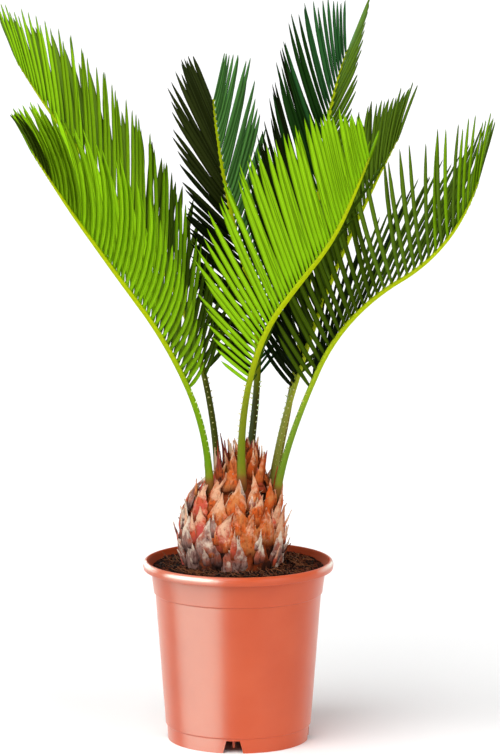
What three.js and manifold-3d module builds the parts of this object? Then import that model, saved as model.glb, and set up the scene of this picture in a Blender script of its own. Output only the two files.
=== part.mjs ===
// Potted sago palm: a moulded pot, its soil, the scaly caudex and seven fronds.
// Millimetres, +Z up, origin on the ground under the middle of the pot.
import * as THREE from 'three';
import { mergeVertices } from 'three/addons/utils/BufferGeometryUtils.js';
import Module from 'manifold-3d';

const wasm = await Module();
wasm.setup();

// ---------------------------------------------------------------- dimensions

const GAP = 0.3; // clearance between pieces that touch

const POT = {
  segments: 40,
  height: 143.5,
  rimRadius: 75.4, // widest part of the rolled rim
  rimBottom: 136,
  mouthRadius: 70.8,
  neckRadius: 69, // outside of the wall just under the rim
  stepHeight: 117.8, // shallow ring round the wall
  stepTop: 66.6,
  stepBottom: 65.5,
  ledgeHeight: 12.3, // where the wall leaves the foot
  ledgeRadius: 57.6,
  footRadius: 55.9,
  ledgeFall: 0.7, // height of the slope from the ledge to the foot
  footFlare: 0.6, // how far the foot widens up to it
  footWall: 2,
  footRoot: 0.2, // how far the foot ring thickens under the floor
  stepFall: 0.6,
  stepInside: 2.2, // height of the slope behind the step
  // The rolled rim: each [distance in from the rim radius, height over the rim's bottom or
  // under its top].
  roll: { under: [0.8, 0.3], widest: 3.6, over: [0.8, 1.2], top: [2.6, 0], lip: 0.9, inner: [1, 3] },
  wall: 1.8,
  heel: 0.2, // how far the wall thickens down to the floor
  floorTop: 12,
  floorThickness: 1.9,
};

const NOTCH = { count: 4, bearing: -94, topWidth: 10.7, footWidth: 16, height: 10, inset: 5 };
const RIB = { width: 2.2, drop: 7, inner: 40, outer: 49 };
const DRAIN = { count: 5, radius: 4, ring: 30, sides: 8, bearing: 18 };
const OVERCUT = 1; // how far a cut reaches past what it cuts, and a rib into what it joins

const SOIL = {
  edge: 139.2, // height at the wall
  edgeFall: 1.3, // how much lower it is where it meets the wall
  mound: 3,
  lump: 1,
  inset: 0.3, // clear of the flat facets of the wall, besides the gap
  rings: [24, 42, 53, 62],
  segments: 28,
  dome: 0.5, // power of the mound's fall towards the wall
  coarse: { x: 0.21, y: 0.19, shiftX: 1.3, shiftY: 0.4, share: 0.65 }, // lumps, in radians a mm
  fine: { x: 0.47, y: 0.39, shift: 2.1, share: 0.35 },
};

// The caudex core from its buried foot to the point of its crown: [height, radius, lean in x].
const CAUDEX = {
  segments: 13,
  rings: [
    [112, 16, -3.5],
    [128, 33, -4.3],
    [142, 37.4, -4.9],
    [158, 39, -5.2],
    [172, 37.6, -5.2],
    [184, 34.4, -4.2],
    [194, 30, -2.2],
    [203, 23.5, 0.4],
    [211, 15, 4],
    [222, 9.5, 5.5],
    [232, 3.5, 5.5],
  ],
};

const SCALE = {
  count: 46,
  turn: 137.508, // degrees between one leaf base and the next
  firstHeight: 142.8,
  lastHeight: 191,
  opening: 1.05, // how the spiral opens out towards the top
  width: 22,
  topWidth: 13,
  height: 27,
  uneven: { height: 0.18, sway: 0.09, heightKey: 3, swayKey: 40 },
  shoulder: 0.62, // share of its height from which the tip stands free
  stand: 4.2, // how far the tip stands off the core
  standGrowth: [0.7, 0.6], // share of that at the lowest, and what the highest adds
  tuck: 1.5,
  edge: 0.3, // how far its lower corners lie off the core
  crest: 0.36, // share of its height where it bulges most
  bulge: 2.6,
  sink: 7,
};

const BRACT = {
  count: 15,
  start: 40, // bearing of the first
  first: 201, // height of the lowest, and of the highest, on the core
  last: 222,
  tallest: 25,
  shortest: 15,
  uneven: 0.12,
  unevenKey: 7,
  width: 4.6,
  topWidth: 3,
  flare: 0.1,
  sunk: 2,
  belly: 0.45, // place and size of its middle section
  bellyWidth: 0.8,
  thickness: 0.6, // of its width
};

const SOCKET = { length: 40, stations: 6, clearance: 0.12 };

const RACHIS = {
  steps: 60, // arc steps of the path
  stations: 14, // cross-sections of the solid
  root: 4.4, // corner radius at the foot of the petiole
  petiole: 3.8,
  middle: 2.7,
  tip: 1.5,
  swelling: 25, // length over which the foot narrows to the petiole
  petioleEnd: 0.86, // of the petiole's radius, at its first leaflet
  sunk: 13, // length held in the crown
  spacing: 4, // between the places where it is kept clear
  keptClear: 1.5,
};

const LEAFLET = {
  samples: 20,
  bend: 0.3, // place of the broadest section of the solid
  broad: 1.2, // its width, so that straight edges cover what the rounded ones do
  rib: 1.25, // thickness at the midrib
  belly: 0.35, // share of it below the centre line
  sunk: 2, // root held behind the middle of the rachis
  clear: 0.8,
  fullWidthFrom: 85, // length past which a leaflet has its whole width
  leastWidth: 0.45,
  ease: [-60, -30, 0, 30, 60], // arc steps a leaflet's own frame is averaged over
  curlFrom: 0.15, // share of the length where the curl has turned it by nothing
  leftAt: 0.25, // place of the left and right leaflets in a pair's share of the rachis
  rightAt: 0.75,
  outline: [[0, 0.28, 0.7, 1], [0.5, 1, 0.85, 0]], // places, and widths there
  wobble: { angle: 2.4, length: 0.06, twist: 7, frondKey: 200, lengthKey: 0.5, twistKey: 0.8 },
};

// Turns tried for a leaflet that would touch another frond: [keel, spread, length share].
const TRIES = [
  [0, 0, 1], [7, 0, 1], [-7, 0, 1], [14, 0, 1], [-14, 0, 1], [0, -8, 1], [8, -8, 1], [-8, -8, 1],
  [21, 0, 1], [-21, 0, 1], [16, -12, 1], [-16, -12, 1], [28, 0, 1], [28, -10, 1], [0, -18, 1],
  [12, -20, 1], [-12, -20, 1], [0, -28, 1], [20, -28, 1], [10, 0, 0.8], [-10, 0, 0.8],
  [20, -10, 0.8], [-20, -10, 0.8], [0, -20, 0.8], [15, -30, 0.8], [10, 0, 0.6], [-10, 0, 0.6],
  [0, -15, 0.6], [20, -25, 0.6], [-20, -25, 0.6], [0, -30, 0.45],
];

// Each frond: foot of the petiole, arc length, lean from upright and bearing along it, length
// of the petiole and pairs of leaflets. Of its two rows, left is the one on the left of someone
// who looks out along the frond from its upper side. For each row: keel, that is how far it is
// raised from flat, spread from the rachis, reach, curl, twist and width of its leaflets, from
// the foot of the row to its tip.
const FRONDS = {
  frond_front: {
    foot: [2.7, -20, 212],
    length: 299,
    lean: [-4, 9.5, 23.5, 43, 45, 29.5, 25],
    bearing: [-48, -44, -40],
    petiole: 74,
    pairs: 32,
    firstRow: -1,
    left: {
      keel: [32, 41],
      spread: [85, 75, 62, 47, 30],
      reach: [20, 63, 83, 66, 24],
      curl: 6,
      twist: [30, 30],
      width: 5.4,
    },
    right: {
      keel: [55, 54],
      spread: [73, 51, 46, 41, 33],
      reach: [23, 103, 107, 87, 35],
      curl: 4,
      twist: [8, 2],
      width: 6.2,
    },
    color: '#84c41a',
  },
  frond_left_front: {
    foot: [-22, -16, 209],
    length: 303,
    lean: [2.5, 24, 37, 36.5, 32.5],
    bearing: [197.5, 202, 206],
    petiole: 75,
    pairs: 40,
    firstRow: 1,
    left: {
      keel: [54, 53],
      spread: [63, 56, 45, 28, 12],
      reach: [27, 66, 99, 88, 35],
      curl: 30,
      twist: [-26, -44],
      width: 5.6,
    },
    right: {
      keel: [53, 53],
      spread: [66, 59, 50, 38, 14],
      reach: [41, 75, 95, 85, 36],
      curl: 24,
      twist: [20, 20],
      width: 5.4,
    },
    color: '#79b416',
  },
  frond_right_front: {
    foot: [30.5, -10, 202],
    length: 301,
    lean: [12, 20, 24.5, 42.5, 59, 37.5, 17],
    bearing: [-17, -17, -17],
    petiole: 80,
    pairs: 31,
    firstRow: -1,
    left: {
      keel: [42, 44],
      spread: [38, 33, 35, 34, 20],
      reach: [66, 105, 113, 96, 52],
      curl: 6,
      twist: [-8, -8],
      width: 4.8,
    },
    right: {
      keel: [57, 52],
      spread: [59, 58, 57, 41, 18],
      reach: [50, 98, 112, 98, 54],
      curl: 7,
      twist: [-12, -42],
      width: 5.2,
    },
    color: '#5c9a1c',
  },
  frond_left_back: {
    foot: [-15.5, 12, 206],
    length: 377,
    lean: [2.5, 15.5, 35.5, 41.5, 33.5],
    bearing: [159.5, 159.5, 159.5],
    petiole: 80,
    pairs: 36,
    firstRow: 1,
    left: {
      keel: [53, 61],
      spread: [53, 48, 55, 48, 22],
      reach: [57, 95, 107, 94, 50],
      curl: 7,
      twist: [8, -7],
      width: 5.6,
    },
    right: {
      keel: [50, 50],
      spread: [58, 46, 34, 27, 14],
      reach: [40, 66, 84, 84, 44],
      curl: 7,
      twist: [26, 26],
      width: 5.4,
    },
    color: '#6aa41a',
  },
  frond_back_right: {
    foot: [27, 14, 201],
    length: 355,
    lean: [17, 15.5, 11, 12, 37],
    bearing: [42, 54, 57.5],
    petiole: 82,
    pairs: 36,
    firstRow: 1,
    left: {
      keel: [83, 77],
      spread: [55, 40, 37, 44, 28],
      reach: [108, 134, 113, 93, 40],
      curl: 10,
      twist: [-16, -9],
      width: 5.4,
    },
    right: {
      keel: [36, 39],
      spread: [63, 61, 58, 51, 20],
      reach: [46, 64, 68, 62, 48],
      curl: 4,
      twist: [-14, -14],
      width: 5.0,
    },
    color: '#2c5e22',
  },
  frond_back_left: {
    foot: [7, 18, 207],
    length: 309,
    lean: [8.5, 14.5, 20.5, 24, 22.5],
    bearing: [36, 76, 137, 119, 102],
    petiole: 76,
    pairs: 39,
    firstRow: 1,
    left: {
      keel: [20, 24],
      spread: [57, 58, 57, 26, 21],
      reach: [47, 70, 71, 84, 38],
      curl: 2,
      twist: [-20, -20],
      width: 5.2,
    },
    right: {
      keel: [30, 31],
      spread: [50, 40, 31, 24, 18],
      reach: [36, 64, 80, 88, 39],
      curl: 3,
      twist: [38, 38],
      width: 5.2,
    },
    color: '#2f6b3a',
  },
  frond_right_back: {
    foot: [26, 2, 200],
    length: 294,
    lean: [8, 18, 22, 27.5, 30.5],
    bearing: [21, 23, 24.5],
    petiole: 80,
    pairs: 33,
    firstRow: -1,
    left: {
      keel: [60, 60],
      spread: [60, 51, 41, 31, 16],
      reach: [38, 63, 77, 71, 46],
      curl: 14,
      twist: [26, 26],
      width: 5.0,
    },
    right: {
      keel: [61, 61],
      spread: [66, 61, 55, 44, 16],
      reach: [39, 66, 81, 74, 48],
      curl: 12,
      twist: [-6, -6],
      width: 5.0,
    },
    color: '#4c7d1c',
  },
};

const COLORS = { pot: '#df744f', soil: '#33241a', caudex: '#a8623c' };
const ROUGHNESS = { pot: 0.42, soil: 0.95, caudex: 0.85, frond: 0.45 };

// ------------------------------------------------------------------- helpers

const rad = THREE.MathUtils.degToRad;
const vec = (x, y, z) => new THREE.Vector3(x, y, z);
const group = new THREE.Group();
group.name = 'potted_sago_palm';

/** Value at x (0 to 1) on a line through evenly spaced knots. */
function along(knots, x) {
  const at = Math.min(Math.max(x, 0), 1) * (knots.length - 1);
  const i = Math.min(Math.floor(at), knots.length - 2);
  return knots[i] + (knots[i + 1] - knots[i]) * (at - i);
}

/** Value at x on a line through the points (xs, ys). */
function between(xs, ys, x) {
  let i = 0;
  while (i < xs.length - 2 && x > xs[i + 1]) i += 1;
  const share = (x - xs[i]) / (xs[i + 1] - xs[i]);
  return ys[i] + (ys[i + 1] - ys[i]) * Math.min(Math.max(share, 0), 1);
}

/** Value at x (0 to 1) on a smooth curve through evenly spaced knots. */
function eased(knots, x) {
  const at = Math.min(Math.max(x, 0), 1) * (knots.length - 1);
  const i = Math.min(Math.floor(at), knots.length - 2);
  const [a, b] = [knots[i], knots[i + 1]];
  const leave = (b - (knots[i - 1] ?? 2 * a - b)) / 2;
  const arrive = ((knots[i + 2] ?? 2 * b - a) - a) / 2;
  const h = at - i;
  const bend = 3 * (b - a) - 2 * leave - arrive + h * (leave + arrive - 2 * (b - a));
  return a + h * (leave + h * bend);
}

/** A repeatable number from -1 to 1 for a key. */
function wobble(key) {
  const x = Math.sin(key * 12.9898) * 43758.5453;
  return 2 * (x - Math.floor(x)) - 1;
}

/** Geometry from points and index triples. */
function facets(points, triples) {
  const geometry = new THREE.BufferGeometry();
  const flat = points.flatMap((p) => [p.x, p.y, p.z]);
  geometry.setAttribute('position', new THREE.Float32BufferAttribute(flat, 3));
  geometry.setIndex(triples.flat());
  return geometry;
}

/** Closed geometry through rings of points, ended by flat fans or by a point. */
function skin(rings, point) {
  const sides = rings[0].length;
  const points = rings.flat();
  const triples = [];
  for (let r = 0; r < rings.length - 1; r += 1) {
    for (let i = 0; i < sides; i += 1) {
      const a = r * sides + i;
      const b = r * sides + ((i + 1) % sides);
      triples.push([a, b, b + sides], [a, b + sides, a + sides]);
    }
  }
  for (let i = 1; i < sides - 1; i += 1) triples.push([0, i + 1, i]);
  const last = (rings.length - 1) * sides;
  if (point) {
    points.push(point);
    for (let i = 0; i < sides; i += 1) {
      triples.push([last + i, last + ((i + 1) % sides), points.length - 1]);
    }
  } else {
    for (let i = 1; i < sides - 1; i += 1) triples.push([last, last + i, last + i + 1]);
  }
  return facets(points, triples);
}

/** The solid of a closed geometry, whichever way its faces were wound. */
function solid(geometry) {
  const bare = geometry.clone();
  bare.deleteAttribute('uv');
  bare.deleteAttribute('normal');
  const welded = mergeVertices(bare, 1e-4);
  const triVerts = new Uint32Array(welded.index.array);
  const vertProperties = new Float32Array(welded.attributes.position.array);
  const made = new wasm.Manifold(new wasm.Mesh({ numProp: 3, vertProperties, triVerts }));
  if (made.volume() > 0) return made;
  for (let i = 0; i < triVerts.length; i += 3) {
    [triVerts[i + 1], triVerts[i + 2]] = [triVerts[i + 2], triVerts[i + 1]];
  }
  return new wasm.Manifold(new wasm.Mesh({ numProp: 3, vertProperties, triVerts }));
}

/** The largest connected piece of a solid. */
function largest(body) {
  const parts = body.decompose();
  return parts.reduce((a, b) => (b.volume() > a.volume() ? b : a));
}

/** Adds a solid to the group as a named mesh. */
function place(name, body, color, roughness) {
  const mesh = body.getMesh();
  const geometry = new THREE.BufferGeometry();
  geometry.setAttribute('position', new THREE.BufferAttribute(mesh.vertProperties, 3));
  geometry.setIndex(new THREE.BufferAttribute(mesh.triVerts, 1));
  geometry.computeVertexNormals();
  const material = new THREE.MeshStandardMaterial({ color, roughness, metalness: 0 });
  const made = new THREE.Mesh(geometry, material);
  made.name = name;
  group.add(made);
}

/** A closed body of revolution from [radius, height] pairs. */
function turned(profile, segments) {
  const points = profile.map(([r, z]) => new THREE.Vector2(r, z));
  const lathe = new THREE.LatheGeometry(points, segments);
  lathe.rotateX(Math.PI / 2);
  return lathe;
}

// ----------------------------------------------------------------------- pot

/** Inside of the wall from the floor up to the rim. */
function wallInside(offset) {
  return [
    [POT.ledgeRadius - POT.wall - POT.heel - offset, POT.floorTop],
    [POT.stepBottom - POT.wall - offset, POT.stepHeight],
    [POT.stepTop - POT.wall - offset, POT.stepHeight + POT.stepInside],
    [POT.neckRadius - POT.wall - offset, POT.rimBottom],
    [POT.mouthRadius - POT.roll.inner[0] - offset, POT.height - POT.roll.inner[1]],
  ];
}

function pot() {
  const underside = POT.floorTop - POT.floorThickness;
  const { roll } = POT;
  const outside = [
    [0, underside],
    [POT.footRadius - POT.footWall - POT.footRoot, underside],
    [POT.footRadius - POT.footWall, 0],
    [POT.footRadius, 0],
    [POT.footRadius + POT.footFlare, POT.ledgeHeight - POT.ledgeFall],
    [POT.ledgeRadius, POT.ledgeHeight],
    [POT.stepBottom, POT.stepHeight - POT.stepFall],
    [POT.stepTop, POT.stepHeight],
    [POT.neckRadius, POT.rimBottom],
    [POT.rimRadius - roll.under[0], POT.rimBottom + roll.under[1]],
    [POT.rimRadius, POT.rimBottom + roll.widest],
    [POT.rimRadius - roll.over[0], POT.height - roll.over[1]],
    [POT.rimRadius - roll.top[0], POT.height - roll.top[1]],
    [POT.mouthRadius, POT.height - roll.lip],
  ];
  const inside = wallInside(0).reverse();
  const shell = solid(turned([...outside, ...inside, [0, POT.floorTop]], POT.segments));

  const cuts = [];
  const ribs = [];
  for (let i = 0; i < NOTCH.count; i += 1) {
    const bearing = rad(NOTCH.bearing + (360 / NOTCH.count) * i);
    const slope = (NOTCH.footWidth - NOTCH.topWidth) / 2 / NOTCH.height;
    const foot = NOTCH.footWidth / 2 + slope * OVERCUT;
    const outline = new THREE.Shape([
      new THREE.Vector2(-foot, -OVERCUT),
      new THREE.Vector2(foot, -OVERCUT),
      new THREE.Vector2(NOTCH.topWidth / 2, NOTCH.height),
      new THREE.Vector2(-NOTCH.topWidth / 2, NOTCH.height),
    ]);
    const depth = NOTCH.inset + POT.ledgeRadius - POT.footRadius + OVERCUT;
    const notch = new THREE.ExtrudeGeometry(outline, { depth, bevelEnabled: false });
    notch.rotateX(Math.PI / 2);
    notch.rotateZ(Math.PI / 2);
    notch.translate(POT.footRadius - NOTCH.inset, 0, 0);
    notch.rotateZ(bearing);
    cuts.push(solid(notch));
    const rib = new THREE.BoxGeometry(RIB.outer - RIB.inner, RIB.width, RIB.drop + OVERCUT);
    rib.translate((RIB.outer + RIB.inner) / 2, 0, underside + (OVERCUT - RIB.drop) / 2);
    rib.rotateZ(bearing);
    ribs.push(solid(rib));
  }
  for (let i = 0; i < DRAIN.count; i += 1) {
    const bearing = rad((360 / DRAIN.count) * i + DRAIN.bearing);
    const length = POT.floorThickness + 2 * OVERCUT;
    const bore = new THREE.CylinderGeometry(DRAIN.radius, DRAIN.radius, length, DRAIN.sides);
    bore.rotateX(Math.PI / 2);
    bore.translate(
      DRAIN.ring * Math.cos(bearing),
      DRAIN.ring * Math.sin(bearing),
      POT.floorTop - POT.floorThickness / 2,
    );
    cuts.push(solid(bore));
  }
  return wasm.Manifold.union([shell, ...ribs]).subtract(wasm.Manifold.union(cuts));
}

// ---------------------------------------------------------------------- soil

/** Height of the soil's lumpy top. */
function soilHeight(x, y) {
  const { coarse, fine } = SOIL;
  const rise = SOIL.mound * Math.max(0, 1 - Math.hypot(x, y) / SOIL.rings[3]) ** SOIL.dome;
  const slow = Math.sin(x * coarse.x + coarse.shiftX) * Math.cos(y * coarse.y - coarse.shiftY);
  const quick = Math.sin(x * fine.x - y * fine.y + fine.shift);
  return SOIL.edge + rise + SOIL.lump * (coarse.share * slow + fine.share * quick);
}

/** Cross-sections of the caudex core, grown by an offset. */
function coreRings(offset) {
  return CAUDEX.rings.map(([z, r, lean]) => {
    const ring = [];
    for (let i = 0; i < CAUDEX.segments; i += 1) {
      const a = (i / CAUDEX.segments) * 2 * Math.PI;
      ring.push(vec(lean + (r + offset) * Math.cos(a), (r + offset) * Math.sin(a), z));
    }
    return ring;
  });
}

function core(offset) {
  const rings = coreRings(offset);
  if (offset > 0) rings[0].forEach((p) => { p.z -= offset; });
  return solid(skin(rings, null));
}

function soil() {
  const wall = wallInside(GAP);
  const circle = (r, height) => {
    const ring = [];
    for (let i = 0; i < SOIL.segments; i += 1) {
      const a = (i / SOIL.segments) * 2 * Math.PI;
      const x = r * Math.cos(a);
      const y = r * Math.sin(a);
      ring.push(vec(x, y, height ?? soilHeight(x, y)));
    }
    return ring;
  };
  const rings = wall.slice(0, -1).map(([r, z], k) => circle(r - SOIL.inset, k ? z : z + GAP));
  const [low, high] = wall.slice(-2);
  const edge = SOIL.edge - SOIL.edgeFall;
  rings.push(circle(between([low[1], high[1]], [low[0], high[0]], edge) - SOIL.inset, edge));
  [...SOIL.rings].reverse().forEach((r) => rings.push(circle(r)));
  const body = solid(skin(rings, vec(0, 0, SOIL.edge + SOIL.mound)));
  return body.subtract(core(GAP));
}

// -------------------------------------------------------------------- caudex

/** Core radius and lean at a height. */
function coreAt(z) {
  const heights = CAUDEX.rings.map((ring) => ring[0]);
  return {
    r: between(heights, CAUDEX.rings.map((ring) => ring[1]), z),
    lean: between(heights, CAUDEX.rings.map((ring) => ring[2]), z),
  };
}

/** Point on the caudex at a bearing and height, stood off by a distance. */
function onCore(bearing, z, off) {
  const { r, lean } = coreAt(z);
  return vec(lean + (r + off) * Math.cos(bearing), (r + off) * Math.sin(bearing), z);
}

/** A leaf-base scale: a shield with a raised middle and a free pointed tip. */
function leafBase(i) {
  const share = i / (SCALE.count - 1);
  const rise = SCALE.lastHeight - SCALE.firstHeight;
  const z = SCALE.firstHeight + rise * share ** SCALE.opening;
  const bearing = rad(i * SCALE.turn);
  const width = THREE.MathUtils.lerp(SCALE.width, SCALE.topWidth, share ** 2) / 2;
  const height = SCALE.height * (1 + SCALE.uneven.height * wobble(i + SCALE.uneven.heightKey));
  const half = width / coreAt(z).r;
  const [low, growth] = SCALE.standGrowth;
  const stand = SCALE.stand * (low + growth * share);
  const reach = coreAt(z + height * SCALE.shoulder).r + stand - SCALE.tuck;
  const aim = bearing + SCALE.uneven.sway * wobble(i + SCALE.uneven.swayKey);
  const tip = vec(
    coreAt(z + height).lean + reach * Math.cos(aim),
    reach * Math.sin(aim),
    z + height,
  );
  const corners = [onCore(bearing - half, z, SCALE.edge), onCore(bearing + half, z, SCALE.edge)];
  const middle = onCore(bearing, z + height * SCALE.crest, SCALE.bulge);
  const inner = onCore(bearing, z + height * SCALE.crest, -SCALE.sink);
  const triples = [];
  for (let j = 0; j < 3; j += 1) {
    triples.push([j, (j + 1) % 3, 3], [(j + 1) % 3, j, 4]);
  }
  return solid(facets([...corners, tip, middle, inner], triples));
}

/** A thin pointed bract on the crown, which stands up among the petioles. */
function bract(i) {
  const share = i / (BRACT.count - 1);
  const bearing = rad(i * SCALE.turn + BRACT.start);
  const even = THREE.MathUtils.lerp(BRACT.tallest, BRACT.shortest, share);
  const height = even * (1 + BRACT.uneven * wobble(i + BRACT.unevenKey));
  const width = THREE.MathUtils.lerp(BRACT.width, BRACT.topWidth, share);
  const foot = onCore(bearing, THREE.MathUtils.lerp(BRACT.first, BRACT.last, share), -BRACT.sunk);
  const out = vec(Math.cos(bearing), Math.sin(bearing), 0);
  const side = vec(-out.y, out.x, 0);
  const at = (rise) => foot.clone().addScaledVector(out, rise * BRACT.flare).add(vec(0, 0, rise));
  const section = (rise, size) => [
    at(rise).addScaledVector(out, size * BRACT.thickness),
    at(rise).addScaledVector(side, size),
    at(rise).addScaledVector(side, -size),
  ];
  const belly = section(height * BRACT.belly, width * BRACT.bellyWidth);
  return solid(skin([section(0, width), belly], at(height)));
}

function caudex(sockets) {
  const pieces = [core(0)];
  for (let i = 0; i < SCALE.count; i += 1) pieces.push(leafBase(i));
  for (let i = 0; i < BRACT.count; i += 1) pieces.push(bract(i));
  return largest(wasm.Manifold.union(pieces).subtract(wasm.Manifold.union(sockets)));
}

// -------------------------------------------------------------------- fronds

/** Forward, adaxial and sideways directions for a lean and bearing in degrees. */
function directions(lean, bearing) {
  const [st, ct] = [Math.sin(rad(lean)), Math.cos(rad(lean))];
  const [sb, cb] = [Math.sin(rad(bearing)), Math.cos(rad(bearing))];
  return { t: vec(st * cb, st * sb, ct), n: vec(-ct * cb, -ct * sb, st), b: vec(-sb, cb, 0) };
}

/** The frame of the rachis at an arc length. */
function frame(frond, s) {
  const share = s / frond.length;
  return directions(along(frond.lean, share), along(frond.bearing, share));
}

/** The frame leaflets are set in: the rachis frame, eased over its bends. */
function leafFrame(frond, s) {
  const shares = LEAFLET.ease.map((d) => Math.min(Math.max(s + d, 0), frond.length) / frond.length);
  const mean = (knots) => shares.reduce((sum, x) => sum + along(knots, x), 0) / shares.length;
  return directions(mean(frond.lean), mean(frond.bearing));
}

/** Points of the rachis at even arc steps. */
function rachisPath(frond) {
  const step = frond.length / RACHIS.steps;
  const points = [vec(...frond.foot)];
  for (let i = 0; i < RACHIS.steps; i += 1) {
    points.push(points[i].clone().addScaledVector(frame(frond, (i + 0.5) * step).t, step));
  }
  return points;
}

function rachisPoint(frond, s) {
  if (s < 0) return frond.path[0].clone().addScaledVector(frame(frond, 0).t, s);
  const at = Math.min((s / frond.length) * RACHIS.steps, RACHIS.steps);
  const i = Math.min(Math.floor(at), RACHIS.steps - 1);
  return frond.path[i].clone().lerp(frond.path[i + 1], at - i);
}

function rachisRadius(frond, s) {
  const { petiole, length } = frond;
  const stops = [0, RACHIS.swelling, petiole, (petiole + length) / 2, length];
  const end = RACHIS.petiole * RACHIS.petioleEnd;
  const radii = [RACHIS.root, RACHIS.petiole, end, RACHIS.middle, RACHIS.tip];
  return between(stops, radii, Math.max(s, 0));
}

/** Tube round the rachis between two arc lengths, grown by a margin. */
function rachisTube(frond, from, to, stations, margin) {
  const rings = [];
  for (let i = 0; i <= stations; i += 1) {
    const s = from + ((to - from) * i) / stations;
    const { n, b } = frame(frond, s);
    const centre = rachisPoint(frond, s);
    const radius = rachisRadius(frond, s) + margin;
    const ring = [];
    for (let j = 0; j < 3; j += 1) {
      const a = (j / 3) * 2 * Math.PI;
      ring.push(centre.clone()
        .addScaledVector(n, radius * Math.cos(a))
        .addScaledVector(b, radius * Math.sin(a)));
    }
    rings.push(ring);
  }
  return solid(skin(rings, null));
}

/** Half width at a place u (0 to 1) along a leaflet, as its clearance is tested. */
function halfWidthAt(u, width) {
  return (width / 2) * between(...LEAFLET.outline, u);
}

/** Centre line of one leaflet with its flat direction, turned as one try asks. */
function leafletLine(frond, k, side, [lift, fold, cut]) {
  const row = side > 0 ? frond.left : frond.right;
  const v = (k + (side > 0 ? LEAFLET.leftAt : LEAFLET.rightAt)) / frond.pairs;
  const s = frond.petiole + (frond.length - frond.petiole) * v;
  const { t, n, b } = leafFrame(frond, s);
  const keel = rad(along(row.keel, v) + lift);
  const out = b.clone().multiplyScalar(side * Math.cos(keel)).addScaledVector(n, Math.sin(keel));
  const key = frond.index * LEAFLET.wobble.frondKey + k * 2 + (side > 0 ? 1 : 0);
  const open = eased(row.spread, v) + LEAFLET.wobble.angle * wobble(key) + fold;
  const reach = eased(row.reach, v) * (1 + LEAFLET.wobble.length * wobble(key + LEAFLET.wobble.lengthKey));
  const full = Math.min(1, reach / LEAFLET.fullWidthFrom);
  const width = row.width * (LEAFLET.leastWidth + (1 - LEAFLET.leastWidth) * full);
  const step = (reach * cut) / LEAFLET.samples;
  const points = [rachisPoint(frond, s)];
  for (let j = 0; j < LEAFLET.samples; j += 1) {
    const a = rad(open - row.curl * ((j + 0.5) / LEAFLET.samples - LEAFLET.curlFrom));
    const last = points[j].clone();
    points.push(last.addScaledVector(t, step * Math.cos(a)).addScaledVector(out, step * Math.sin(a)));
  }
  const face = t.clone().cross(out).normalize().multiplyScalar(side);
  const sway = LEAFLET.wobble.twist * wobble(key + LEAFLET.wobble.twistKey);
  const twist = (along(row.twist, v) + sway) * side;
  return { points, face, twist, width };
}

/** Whether a leaflet keeps clear of everything already set. */
function keepsClear(line, taken, own) {
  for (let j = 1; j <= LEAFLET.samples; j += 1) {
    const p = line.points[j];
    const half = halfWidthAt(j / LEAFLET.samples, line.width);
    for (const other of taken) {
      if (other.owner !== own) {
        const reach = half + other.half + LEAFLET.clear;
        const dx = p.x - other.x;
        const dy = p.y - other.y;
        const dz = p.z - other.z;
        if (dx * dx + dy * dy + dz * dz < reach * reach) return false;
      }
    }
  }
  return true;
}

/** Sets one row, turning each leaflet a little where it would touch another frond. */
function setRow(frond, side, taken) {
  for (let k = 0; k < frond.pairs; k += 1) {
    let line = null;
    for (let i = 0; i < TRIES.length && !line; i += 1) {
      const attempt = leafletLine(frond, k, side, TRIES[i]);
      if (keepsClear(attempt, taken, frond.index)) line = attempt;
    }
    if (line) {
      frond.leaflets.push(line);
      line.points.forEach((p, j) => {
        const half = halfWidthAt(j / LEAFLET.samples, line.width);
        taken.push({ x: p.x, y: p.y, z: p.z, half, owner: frond.index });
      });
    }
  }
}

function setLeaflets(fronds) {
  const taken = [];
  fronds.forEach((frond) => {
    for (let s = 0; s <= frond.length; s += RACHIS.spacing) {
      const { x, y, z } = rachisPoint(frond, s);
      taken.push({ x, y, z, half: rachisRadius(frond, s) + RACHIS.keptClear, owner: frond.index });
    }
  });
  fronds.forEach((frond) => setRow(frond, frond.firstRow, taken));
  fronds.forEach((frond) => setRow(frond, -frond.firstRow, taken));
}

/** A leaflet blade: flat below, ridged above, pointed at its root and at its tip. */
function blade(line) {
  const count = LEAFLET.samples;
  const j = Math.round(count * LEAFLET.bend);
  const root = line.points[1].clone().sub(line.points[0]).normalize();
  const run = line.points[j + 1].clone().sub(line.points[j - 1]).normalize();
  const turn = rad(line.twist);
  const across = line.face.clone().cross(run).normalize().applyAxisAngle(run, turn);
  const face = run.clone().cross(across).normalize();
  const half = (LEAFLET.broad * line.width) / 2;
  const flat = line.points[j].clone().addScaledVector(face, -LEAFLET.rib * LEAFLET.belly);
  const points = [
    line.points[0].clone().addScaledVector(root, -LEAFLET.sunk),
    flat.clone().addScaledVector(across, half),
    flat.clone().addScaledVector(across, -half),
    flat.clone().addScaledVector(face, LEAFLET.rib),
    line.points[count],
  ];
  return solid(facets(points, [[0, 2, 1], [0, 3, 2], [0, 1, 3], [4, 1, 2], [4, 2, 3], [4, 3, 1]]));
}

function frondSolid(frond) {
  const parts = [rachisTube(frond, -RACHIS.sunk, frond.length, RACHIS.stations, 0)];
  frond.leaflets.forEach((line) => parts.push(blade(line)));
  return wasm.Manifold.union(parts);
}

// ------------------------------------------------------------------ assembly

const fronds = Object.entries(FRONDS).map(([name, values], index) => (
  { name, index, leaflets: [], ...values }
));
fronds.forEach((frond) => { frond.path = rachisPath(frond); });
setLeaflets(fronds);
const sockets = fronds.map((frond) => (
  rachisTube(frond, -RACHIS.sunk - GAP, SOCKET.length, SOCKET.stations, GAP + SOCKET.clearance)
));

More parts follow.
